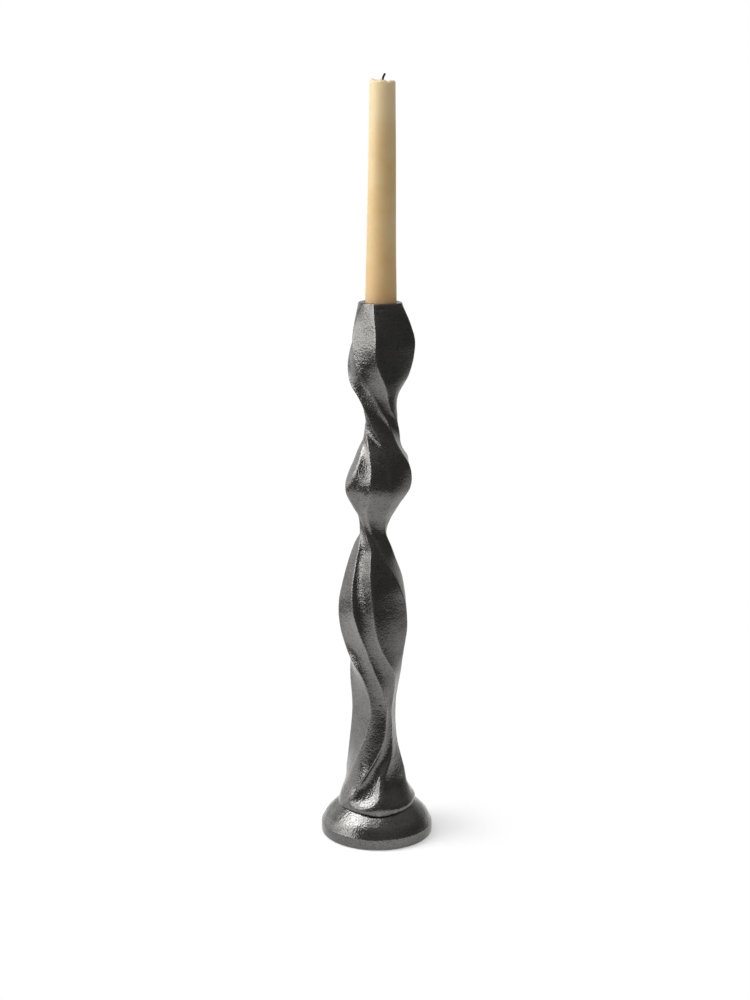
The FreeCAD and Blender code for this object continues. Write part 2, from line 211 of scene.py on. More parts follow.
# The skirt flares with the foot: height share, then a share of the foot's radius.
SKIRT_SHARES: Rows = ((0.078, 0.52), (0.051, 0.60), (0.031, 0.695), (0.018, 0.735), (0.000, 0.74))

# The spine leans sideways a little: height share, then sideways offset as a share of the reach.
SPINE_SHARES: Rows = (
    (1.000, 0.0), (0.885, 0.0), (0.800, 0.02), (0.750, 0.03), (0.670, 0.0), (0.610, -0.12),
    (0.560, -0.20), (0.480, -0.18), (0.400, -0.17), (0.317, -0.105), (0.200, -0.125),
    (0.130, -0.10), (0.078, -0.06), (0.024, -0.03), (0.000, 0.0),
)

# Each fold's own reach, as a share of the common reach.
PRIDE_SHARES: FoldRows = (
    (1.00, (1.00, 1.00, 1.00, 1.00, 1.00, 1.00)),
    (0.98, (1.00, 1.08, 1.00, 1.00, 1.00, 0.99)),
    (0.94, (0.98, 1.13, 1.00, 1.00, 1.01, 0.98)),
    (0.90, (0.95, 1.03, 1.01, 1.00, 1.04, 0.94)),
    (0.86, (0.96, 0.97, 1.02, 1.00, 1.11, 0.94)),
    (0.83, (0.99, 0.93, 1.01, 1.00, 1.21, 0.96)),
    (0.80, (1.02, 0.92, 0.98, 1.00, 1.12, 0.98)),
    (0.75, (1.03, 1.00, 0.92, 1.00, 0.98, 1.03)),
    (0.72, (1.02, 1.04, 1.03, 0.97, 0.92, 1.15)),
    (0.70, (1.19, 1.02, 1.04, 0.95, 0.88, 1.17)),
    (0.67, (1.10, 1.03, 1.04, 0.92, 0.84, 1.05)),
    (0.64, (1.00, 1.07, 1.08, 0.94, 0.88, 1.03)),
    (0.61, (1.04, 0.97, 1.07, 0.98, 0.96, 1.03)),
    (0.58, (1.05, 0.90, 1.00, 1.00, 1.04, 1.10)),
    (0.54, (1.06, 0.91, 1.00, 1.00, 1.07, 1.03)),
    (0.50, (1.02, 0.87, 0.99, 1.00, 1.00, 0.98)),
    (0.47, (0.99, 0.88, 0.98, 1.06, 1.02, 0.97)),
    (0.42, (1.00, 0.91, 0.94, 1.02, 1.00, 0.95)),
    (0.32, (1.01, 0.98, 0.95, 1.05, 1.00, 0.96)),
    (0.26, (1.02, 0.98, 0.94, 1.07, 1.00, 0.98)),
    (0.20, (1.08, 1.00, 0.92, 1.10, 1.00, 1.00)),
    (0.13, (1.04, 1.06, 0.94, 0.99, 1.00, 1.03)),
    (0.08, (0.94, 1.08, 1.00, 1.00, 0.98, 1.01)),
    (0.03, (0.88, 1.00, 1.06, 0.91, 0.91, 0.91)),
    (0.015, (0.88, 0.99, 1.04, 0.94, 0.93, 0.91)),
    (0.00, (0.92, 0.97, 1.01, 0.85, 0.88, 0.90)),
)

# How far the middle of the facet after each fold is drawn in, as a share of the facet's width.
# Less than zero is pushed out.
HOLLOW_SHARES: FoldRows = (
    (1.00, (-0.24, -0.22, -0.22, -0.22, -0.22, -0.22)),
    (0.96, (-0.14, -0.06, -0.06, -0.06, -0.04, -0.04)),
    (0.94, (-0.13, 0.00, 0.00, 0.00, 0.05, 0.00)),
    (0.88, (-0.10, 0.05, 0.05, 0.05, 0.16, 0.02)),
    (0.83, (-0.20, 0.08, 0.08, 0.06, 0.22, 0.08)),
    (0.79, (-0.36, 0.09, 0.08, 0.08, 0.18, 0.08)),
    (0.75, (-0.20, 0.00, 0.14, 0.12, 0.06, 0.06)),
    (0.70, (-0.10, -0.06, 0.15, -0.02, -0.03, 0.02)),
    (0.65, (-0.04, -0.04, 0.04, -0.02, -0.03, 0.02)),
    (0.62, (0.04, 0.02, 0.10, -0.01, -0.02, 0.02)),
    (0.58, (0.08, 0.10, 0.10, 0.00, 0.00, 0.02)),
    (0.48, (-0.02, 0.22, 0.00, -0.08, 0.08, 0.05)),
    (0.43, (0.00, 0.21, -0.04, -0.13, 0.07, 0.04)),
    (0.39, (0.02, 0.20, -0.07, -0.03, 0.06, 0.02)),
    (0.30, (0.03, 0.08, -0.02, 0.05, 0.04, 0.00)),
    (0.20, (0.05, 0.06, 0.02, 0.02, 0.02, 0.00)),
    (0.14, (-0.18, 0.08, -0.02, -0.02, -0.02, 0.00)),
    (0.09, (-0.18, 0.36, -0.06, -0.12, -0.12, -0.02)),
    (0.06, (-0.20, 0.34, -0.12, -0.22, -0.25, -0.04)),
    (0.035, (-0.20, 0.15, -0.25, -0.30, -0.34, -0.06)),
    (0.018, (-0.18, -0.18, -0.34, -0.34, -0.42, -0.10)),
    (0.00, (-0.12, -0.28, -0.35, -0.36, -0.45, -0.12)),
)

# Where along a facet its hollow lies: half is the middle, less is nearer the fold before it.
LEAN_SHARES: FoldRows = (
    (1.00, (0.5, 0.5, 0.5, 0.5, 0.5, 0.5)),
    (0.88, (0.5, 0.5, 0.5, 0.5, 0.7, 0.5)),
    (0.84, (0.5, 0.5, 0.5, 0.5, 0.85, 0.3)),
    (0.79, (0.5, 0.5, 0.5, 0.5, 0.85, 0.3)),
    (0.72, (0.5, 0.5, 0.86, 0.5, 0.5, 0.5)),
    (0.66, (0.5, 0.5, 0.84, 0.5, 0.5, 0.5)),
    (0.56, (0.5, 0.5, 0.5, 0.5, 0.5, 0.5)),
    (0.48, (0.5, 0.32, 0.5, 0.5, 0.5, 0.5)),
    (0.35, (0.5, 0.32, 0.5, 0.5, 0.5, 0.5)),
    (0.24, (0.5, 0.5, 0.5, 0.5, 0.5, 0.5)),
    (0.17, (0.5, 0.4, 0.5, 0.5, 0.5, 0.5)),
    (0.12, (0.5, 0.45, 0.5, 0.5, 0.5, 0.5)),
    (0.06, (0.5, 0.42, 0.5, 0.5, 0.5, 0.5)),
    (0.035, (0.5, 0.60, 0.5, 0.5, 0.5, 0.5)),
    (0.018, (0.5, 0.68, 0.5, 0.5, 0.5, 0.5)),
    (0.00, (0.5, 0.5, 0.5, 0.5, 0.5, 0.5)),
)

# How far from its crest each fold starts to round over, in millimetres.
ROUND_ROWS: FoldRows = (
    (1.00, (0.9, 1.2, 1.2, 1.2, 1.2, 1.2)),
    (0.75, (0.9, 1.0, 1.2, 1.0, 1.2, 0.9)),
    (0.70, (1.1, 1.2, 2.6, 2.0, 1.6, 1.6)),
    (0.65, (1.2, 1.2, 3.4, 2.0, 3.0, 1.4)),
    (0.58, (1.2, 1.2, 1.2, 1.2, 2.0, 1.2)),
    (0.40, (1.0, 1.0, 1.0, 1.2, 1.2, 1.2)),
    (0.14, (1.1, 1.1, 1.1, 1.5, 1.5, 1.5)),
    (0.08, (1.2, 1.2, 3.0, 1.6, 1.6, 1.6)),
    (0.00, (1.2, 1.2, 3.4, 1.6, 1.6, 1.6)),
)

# The dome: share of the foot's radius, then share of the rise from the band to the land.
DOME_SHARES: Rows = (
    (0.990, 0.0), (0.963, 0.11), (0.907, 0.30), (0.820, 0.486), (0.727, 0.65), (0.639, 0.813),
)

# The candle's lip: share of the radius from left to right, then its rise in millimetres.
LIP_ROWS: Rows = (
    (-1.0, 0.3), (-0.82, 1.3), (-0.66, 0.5), (-0.40, 0.3), (-0.12, 0.6), (0.15, 0.3),
    (0.36, -0.6), (0.52, -0.2), (0.75, 0.1), (1.0, 0.0),
)


class Shows(Enum):
    """What a lamp lights."""

    EVERYTHING = "the whole scene"
    GLOSS = "reflections only, as a white card does"


class Ends(Enum):
    """How a stack of rings is closed."""

    POLES = "a point closes each end"
    LOOP = "the last ring joins the first"


def ring_mesh(name: str, rings: np.ndarray, ends: Ends) -> bpy.types.Mesh:
    """Skin a stack of rings into a closed mesh whose faces point outwards.

    Args:
        name: Name for the mesh.
        rings: Millimetres, by ring, by place round the ring, by axis.
        ends: How the stack is closed.

    Returns:
        The mesh, in metres, smooth shaded.
    """
    count, around = rings.shape[:2]
    points = rings.reshape(-1, 3)
    if ends is Ends.POLES:
        points = np.vstack([points, rings[0].mean(0), rings[-1].mean(0)])
    place = np.arange(count * around).reshape(count, around)
    upper = np.roll(place, -1, 0) if ends is Ends.LOOP else place[1:]
    lower = place if ends is Ends.LOOP else place[:-1]
    quads = np.stack([lower, np.roll(lower, -1, 1), np.roll(upper, -1, 1), upper], -1).reshape(-1, 4)
    faces = quads.tolist()
    if ends is Ends.POLES:
        first, last = len(points) - 2, len(points) - 1
        for i in range(around):
            j = (i + 1) % around
            faces.append([first, int(place[0, j]), int(place[0, i])])
            faces.append([last, int(place[-1, i]), int(place[-1, j])])
    if signed_volume(points, quads) < 0:
        faces = [face[::-1] for face in faces]
    mesh = bpy.data.meshes.new(name)
    mesh.from_pydata((points * MM).tolist(), [], faces)
    mesh.shade_smooth()
    return mesh


def signed_volume(points: np.ndarray, quads: np.ndarray) -> float:
    """Volume inside some quads.

    Args:
        points: Where the corners are, one row each.
        quads: Which four points each quad joins.

    Returns:
        The volume, less than zero where the quads face inwards.
    """
    a, b, c, d = (points[quads[:, i]] for i in range(4))
    halves = np.einsum("ij,ij->i", a, np.cross(b, c)) + np.einsum("ij,ij->i", a, np.cross(c, d))
    return float(halves.sum() / 6)


def rings_about_axis(reach: np.ndarray, height: np.ndarray, bearing: np.ndarray) -> np.ndarray:
    """Round rings about the Z axis.

    Args:
        reach: Radius, by ring, and by place round the ring or one for them all.
        height: Height, in the same way.
        bearing: Bearing of each place round the ring, in radians.

    Returns:
        The rings, by ring, by place round the ring, by axis.
    """
    return np.stack([reach * np.sin(bearing), -reach * np.cos(bearing), height + 0 * bearing], -1)


def add_piece(name: str, mesh: bpy.types.Mesh) -> bpy.types.Object:
    """Put a mesh in the scene as a piece at the origin.

    Args:
        name: Name for the piece.
        mesh: Its mesh.

    Returns:
        The piece.
    """
    piece = bpy.data.objects.new(name, mesh)
    bpy.context.scene.collection.objects.link(piece)
    return piece


def store(mesh: bpy.types.Mesh, name: str, values: np.ndarray) -> None:
    """Keep one number for each vertex of a mesh, as a named attribute.

    Args:
        mesh: The mesh.
        name: Name for the attribute.
        values: The numbers, in the vertices' order. The vertices past them get zero.
    """
    full = np.zeros(len(mesh.vertices), np.float32)
    full[:values.size] = values.ravel()
    mesh.attributes.new(name, "FLOAT", "POINT").data.foreach_set("value", full)


def grow(piece: bpy.types.Object, tree: bpy.types.GeometryNodeTree, sizes: dict[str, Any]) -> None:
    """Run a Geometry Nodes tree on a piece and keep the result as its plain mesh.

    Args:
        piece: The piece, whose mesh is replaced.
        tree: The tree.
        sizes: Values for the tree's named inputs.
    """
    modifier = piece.modifiers.new(tree.name, "NODES")
    modifier.node_group = tree
    sockets = {
        item.name: item.identifier
        for item in tree.interface.items_tree
        if item.item_type == "SOCKET" and item.in_out == "INPUT"
    }
    for label, value in sizes.items():
        modifier[sockets[label]] = value
    depsgraph = bpy.context.evaluated_depsgraph_get()
    baked = bpy.data.meshes.new_from_object(piece.evaluated_get(depsgraph), depsgraph=depsgraph)
    piece.modifiers.remove(modifier)
    piece.data = baked
    baked.name = piece.name


def new_tree(name: str, sizes: dict[str, str]) -> tuple[bpy.types.GeometryNodeTree, dict[str, Any]]:
    """Start a Geometry Nodes tree with a geometry going in and out.

    Args:
        name: Name for the tree.
        sizes: Name and socket type of each further input.

    Returns:
        The tree, and its input sockets by name.
    """
    tree = bpy.data.node_groups.new(name, "GeometryNodeTree")
    tree.interface.new_socket("Geometry", in_out="INPUT", socket_type="NodeSocketGeometry")
    for label, kind in sizes.items():
        tree.interface.new_socket(label, in_out="INPUT", socket_type=kind)
    tree.interface.new_socket("Geometry", in_out="OUTPUT", socket_type="NodeSocketGeometry")
    source = add_node(tree, "NodeGroupInput")
    return tree, {socket.name: socket for socket in source.outputs if socket.name}


def end_tree(
    tree: bpy.types.GeometryNodeTree, shape: bpy.types.NodeSocket, finish: bpy.types.NodeSocket
) -> None:
    """Close a Geometry Nodes tree, so that it gives real geometry with its finish on it.

    Args:
        tree: The tree.
        shape: The geometry that it has made.
        finish: The material.
    """
    real = add_node(tree, "GeometryNodeRealizeInstances", inputs={"Geometry": shape})
    dressed = add_node(
        tree, "GeometryNodeSetMaterial", inputs={"Geometry": real.outputs["Geometry"], "Material": finish}
    )
    add_node(tree, "NodeGroupOutput", inputs={"Geometry": dressed.outputs["Geometry"]})


@dataclass(frozen=True)
class Finish:
    """What every finish has: a name and a shader that its own dress method fills in."""

    name: str

    def material(self) -> bpy.types.Material:
        """The finish as a material, made once.

        Returns:
            The material.
        """
        found = bpy.data.materials.get(self.name)
        if found:
            return found
        made = bpy.data.materials.new(self.name)
        made.use_nodes = True
        tree = made.node_tree
        tree.nodes.clear()
        shader = add_node(tree, "ShaderNodeBsdfPrincipled")
        add_node(tree, "ShaderNodeOutputMaterial", inputs={"Surface": shader.outputs["BSDF"]})
        place = add_node(tree, "ShaderNodeTexCoord").outputs["Object"]
        self.dress(tree, shader, place)
        return made

    def dress(self, tree: bpy.types.NodeTree, shader: bpy.types.Node, place: bpy.types.NodeSocket) -> None:
        """Fill the shader in. Each finish has its own way."""
        raise NotImplementedError


@dataclass(frozen=True)
class BlackenedCasting(Finish):
    """Aluminium cast in sand, then blackened and waxed."""

    # To the eye it is a dark mirror that the sand's grain breaks up, a little paler where hands rub the
    # crests, with black left in its smallest hollows. Foundry sand is 0.2 to 0.4 mm, too fine to show
    # here, so the grain and the specks are drawn about three times as coarse.
    name: str = "blackened_sand_cast_aluminium"
    body: str = "#6E6D6B"
    worn: str = "#7E7C79"
    dull: str = "#686765"
    soot: str = "#1A1918"
    patch_mm: float = 14.0
    patch_span: tuple[float, float] = (0.35, 0.65)
    wax_span: tuple[float, float] = (0.3, 0.7)
    rubbed_most: float = 0.6
    swell_mm: float = 4.0
    swell_depth_mm: float = 0.05
    grain_mm: float = 1.3
    grain_depth_mm: float = 0.26
    speck_mm: float = 0.9
    speck_span: tuple[float, float] = (0.52, 0.66)
    speck_dark: float = 0.5
    roughness: tuple[float, float] = (0.12, 0.18)

    def dress(self, tree: bpy.types.NodeTree, shader: bpy.types.Node, place: bpy.types.NodeSocket) -> None:
        """Fill the shader in.

        Args:
            tree: The material's tree.
            shader: Its Principled shader.
            place: The piece's own coordinates.
        """
        patches, swells, grains, specks = (
            add_node(
                tree, "ShaderNodeTexNoise", inputs={"Vector": place, "Scale": per_mm(size), "Detail": layers}
            ).outputs["Fac"]
            for size, layers in (
                (self.patch_mm, 3.0), (self.swell_mm, 1.0), (self.grain_mm, 2.0), (self.speck_mm, 2.0)
            )
        )
        tone = add_node(
            tree,
            "ShaderNodeMapRange",
            inputs={"Value": patches, "From Min": self.patch_span[0], "From Max": self.patch_span[1]},
        )
        waxed = add_node(
            tree,
            "ShaderNodeMix",
            {"data_type": "RGBA"},
            {"Factor": tone.outputs["Result"], COLOUR_A: linear(self.dull), COLOUR_B: linear(self.body)},
        )
        crest = add_node(tree, "ShaderNodeAttribute", {"attribute_name": "crest"})
        rubbed = add_node(
            tree, "ShaderNodeMapRange", inputs={"Value": crest.outputs["Fac"], "To Max": self.rubbed_most}
        )
        metal = add_node(
            tree,
            "ShaderNodeMix",
            {"data_type": "RGBA"},
            {
                "Factor": rubbed.outputs["Result"],
                COLOUR_A: waxed.outputs[COLOUR_OUT],
                COLOUR_B: linear(self.worn),
            },
        )
        held = add_node(
            tree,
            "ShaderNodeMapRange",
            inputs={
                "Value": specks,
                "From Min": self.speck_span[0],
                "From Max": self.speck_span[1],
                "To Max": self.speck_dark,
            },
        )
        colour = add_node(
            tree,
            "ShaderNodeMix",
            {"data_type": "RGBA"},
            {
                "Factor": held.outputs["Result"],
                COLOUR_A: metal.outputs[COLOUR_OUT],
                COLOUR_B: linear(self.soot),
            },
        )
        sheen = add_node(
            tree,
            "ShaderNodeMapRange",
            inputs={
                "Value": patches,
                "From Min": self.wax_span[0],
                "From Max": self.wax_span[1],
                "To Min": self.roughness[0],
                "To Max": self.roughness[1],
            },
        )
        swell = add_node(
            tree, "ShaderNodeBump", inputs={"Height": swells, "Distance": self.swell_depth_mm * MM}
        )
        grain = add_node(
            tree,
            "ShaderNodeBump",
            inputs={
                "Height": grains,
                "Distance": self.grain_depth_mm * MM,
                "Normal": swell.outputs["Normal"],
            },
        )
        shader.inputs["Metallic"].default_value = 1.0
        tree.links.new(colour.outputs[COLOUR_OUT], shader.inputs["Base Color"])
        tree.links.new(sheen.outputs["Result"], shader.inputs["Roughness"])
        tree.links.new(grain.outputs["Normal"], shader.inputs["Normal"])


@dataclass(frozen=True)
class TaperWax(Finish):
    """Cream candle wax, laid on in dips."""

    # To the eye it glows: light soaks in a few millimetres under a satin skin, and the dips leave it cloudy
    # and a little uneven. Low down near the rim it is painted darker and warmer, as painted shade, and it is
    # painted paler towards the flame's end, as painted light shining through the thin top.
    name: str = "dipped_candle_wax"
    pale: str = "#E8D1A0"
    deep: str = "#DFBC7E"
    # Painted shade: the wax is painted darker and warmer from 440 mm down to the holder's rim.
    painted_rim_shade: str = "#D0A268"
    painted_rim_shade_most: float = 0.6
    foot_from_mm: float = 440.0
    foot_to_mm: float = 390.0
    # Painted light: the wax is painted paler towards the top, where light shines through the thin lip.
    painted_top_glow: str = "#F2DFB6"
    painted_top_glow_most: float = 0.8
    top_from_mm: float = 495.0
    top_to_mm: float = 545.0
    cloud_mm: float = 22.0
    cloud_span: tuple[float, float] = (0.3, 0.7)
    dip_mm: float = 9.0
    dip_depth_mm: float = 0.12
    soak_mm: float = 5.0
    soak_weight: float = 0.6
    soak_by_colour: tuple[float, float, float] = (1.0, 0.62, 0.30)
    roughness: float = 0.5
    ior: float = 1.52

    def dress(self, tree: bpy.types.NodeTree, shader: bpy.types.Node, place: bpy.types.NodeSocket) -> None:
        """Fill the shader in.

        Args:
            tree: The material's tree.
            shader: Its Principled shader.
            place: The piece's own coordinates.
        """
        clouds, dips = (
            add_node(
                tree, "ShaderNodeTexNoise", inputs={"Vector": place, "Scale": per_mm(size), "Detail": layers}
            ).outputs["Fac"]
            for size, layers in ((self.cloud_mm, 3.0), (self.dip_mm, 2.0))
        )
        cloudy = add_node(
            tree,
            "ShaderNodeMapRange",
            inputs={"Value": clouds, "From Min": self.cloud_span[0], "From Max": self.cloud_span[1]},
        )
        colour = add_node(
            tree,
            "ShaderNodeMix",
            {"data_type": "RGBA"},
            {"Factor": cloudy.outputs["Result"], COLOUR_A: linear(self.deep), COLOUR_B: linear(self.pale)},
        )
        height = add_node(tree, "ShaderNodeSeparateXYZ", inputs={"Vector": place}).outputs["Z"]
        # Painted shade darkens and warms the wax low down near the rim; painted light pales it towards the
        # top.
        ends = (
            (self.foot_from_mm, self.foot_to_mm, self.painted_rim_shade_most, self.painted_rim_shade),
            (self.top_from_mm, self.top_to_mm, self.painted_top_glow_most, self.painted_top_glow),
        )
        for start_mm, full_mm, most, tint in ends:
            share = add_node(
                tree,
                "ShaderNodeMapRange",
                inputs={"Value": height, "From Min": start_mm * MM, "From Max": full_mm * MM, "To Max": most},
            )
            colour = add_node(
                tree,
                "ShaderNodeMix",
                {"data_type": "RGBA"},
                {
                    "Factor": share.outputs["Result"],
                    COLOUR_A: colour.outputs[COLOUR_OUT],
                    COLOUR_B: linear(tint),
                },
            )
        uneven = add_node(tree, "ShaderNodeBump", inputs={"Height": dips, "Distance": self.dip_depth_mm * MM})
        shader.inputs["Roughness"].default_value = self.roughness
        shader.inputs["IOR"].default_value = self.ior
        shader.inputs["Subsurface Weight"].default_value = self.soak_weight
        shader.inputs["Subsurface Radius"].default_value = self.soak_by_colour
        shader.inputs["Subsurface Scale"].default_value = self.soak_mm * MM
        tree.links.new(colour.outputs[COLOUR_OUT], shader.inputs["Base Color"])
        tree.links.new(uneven.outputs["Normal"], shader.inputs["Normal"])


@dataclass(frozen=True)
class ZincPlate(Finish):
    """Steel, zinc-plated in a bath."""

    # To the eye it is pale grey metal with a half-dull shine that the bath leaves faintly cloudy.
    name: str = "zinc_plated_steel"
    bright: str = "#C6C8CB"
    cloudy: str = "#A9ACB1"
    cloud_mm: float = 2.5
    cloud_span: tuple[float, float] = (0.2, 0.8)
    roughness: tuple[float, float] = (0.28, 0.45)

    def dress(self, tree: bpy.types.NodeTree, shader: bpy.types.Node, place: bpy.types.NodeSocket) -> None:
        """Fill the shader in.

        Args:
            tree: The material's tree.
            shader: Its Principled shader.
            place: The piece's own coordinates.
        """
        clouds = add_node(
            tree,
            "ShaderNodeTexNoise",
            inputs={"Vector": place, "Scale": per_mm(self.cloud_mm), "Detail": 3.0},
        ).outputs["Fac"]
        colour = add_node(
            tree,
            "ShaderNodeMix",
            {"data_type": "RGBA"},
            {"Factor": clouds, COLOUR_A: linear(self.cloudy), COLOUR_B: linear(self.bright)},
        )
        dullness = add_node(
            tree,
            "ShaderNodeMapRange",
            inputs={
                "Value": clouds,
                "From Min": self.cloud_span[0],
                "From Max": self.cloud_span[1],
                "To Min": self.roughness[0],
                "To Max": self.roughness[1],
            },
        )
        shader.inputs["Metallic"].default_value = 1.0
        tree.links.new(colour.outputs[COLOUR_OUT], shader.inputs["Base Color"])
        tree.links.new(dullness.outputs["Result"], shader.inputs["Roughness"])


@dataclass(frozen=True)
class WoolFelt(Finish):
    """Black wool felt, pressed."""

    # To the eye it is a dull black mat whose fibres catch a little light at a slant. Wool fibres are
    # about 0.03 mm, too fine to show, so they are drawn as tufts half a millimetre wide.
    name: str = "pressed_wool_felt"
    dark: str = "#1B1B1D"
    lint: str = "#343437"
    tuft_mm: float = 0.5
    tuft_depth_mm: float = 0.15
    tuft_span: tuple[float, float] = (0.4, 0.7)
    roughness: float = 0.95
    sheen: float = 0.3

    def dress(self, tree: bpy.types.NodeTree, shader: bpy.types.Node, place: bpy.types.NodeSocket) -> None:
        """Fill the shader in.

        Args:
            tree: The material's tree.
            shader: Its Principled shader.
            place: The piece's own coordinates.
        """
        tufts = add_node(
            tree,
            "ShaderNodeTexNoise",
            inputs={"Vector": place, "Scale": per_mm(self.tuft_mm), "Detail": 4.0},
        ).outputs["Fac"]
        share = add_node(
            tree,
            "ShaderNodeMapRange",
            inputs={"Value": tufts, "From Min": self.tuft_span[0], "From Max": self.tuft_span[1]},
        )
        colour = add_node(
            tree,
            "ShaderNodeMix",
            {"data_type": "RGBA"},
            {"Factor": share.outputs["Result"], COLOUR_A: linear(self.dark), COLOUR_B: linear(self.lint)},
        )
        matted = add_node(
            tree, "ShaderNodeBump", inputs={"Height": tufts, "Distance": self.tuft_depth_mm * MM}
        )
        shader.inputs["Roughness"].default_value = self.roughness
        shader.inputs["Sheen Weight"].default_value = self.sheen
        tree.links.new(colour.outputs[COLOUR_OUT], shader.inputs["Base Color"])
        tree.links.new(matted.outputs["Normal"], shader.inputs["Normal"])


@dataclass(frozen=True)
class BurntCotton(Finish):
    """Cotton yarn soaked in wax, and burnt at the top."""

    # To the eye it is brown where the wax has soaked it and charred black above. Cotton fibres are
    # about 0.02 mm, too fine to show, so the fluff is drawn at 0.3 mm.
    name: str = "burnt_cotton_braid"
    soaked: str = "#8A6B45"
    charred: str = "#151310"
    char_from_mm: float = 543.4
    char_to_mm: float = 545.0
    fluff_mm: float = 0.3
    fluff_depth_mm: float = 0.05
    roughness: float = 0.9

    def dress(self, tree: bpy.types.NodeTree, shader: bpy.types.Node, place: bpy.types.NodeSocket) -> None:
        """Fill the shader in.

        Args:
            tree: The material's tree.
            shader: Its Principled shader.
            place: The piece's own coordinates.
        """
        height = add_node(tree, "ShaderNodeSeparateXYZ", inputs={"Vector": place}).outputs["Z"]
        burnt = add_node(
            tree,
            "ShaderNodeMapRange",
            inputs={"Value": height, "From Min": self.char_from_mm * MM, "From Max": self.char_to_mm * MM},
        )
        colour = add_node(
            tree,
            "ShaderNodeMix",
            {"data_type": "RGBA"},
            {
                "Factor": burnt.outputs["Result"],
                COLOUR_A: linear(self.soaked),
                COLOUR_B: linear(self.charred),
            },
        )
        fluff = add_node(
            tree,
            "ShaderNodeTexNoise",
            inputs={"Vector": place, "Scale": per_mm(self.fluff_mm), "Detail": 2.0},
        ).outputs["Fac"]
        fluffy = add_node(
            tree, "ShaderNodeBump", inputs={"Height": fluff, "Distance": self.fluff_depth_mm * MM}
        )
        shader.inputs["Roughness"].default_value = self.roughness
        tree.links.new(colour.outputs[COLOUR_OUT], shader.inputs["Base Color"])
        tree.links.new(fluffy.outputs["Normal"], shader.inputs["Normal"])


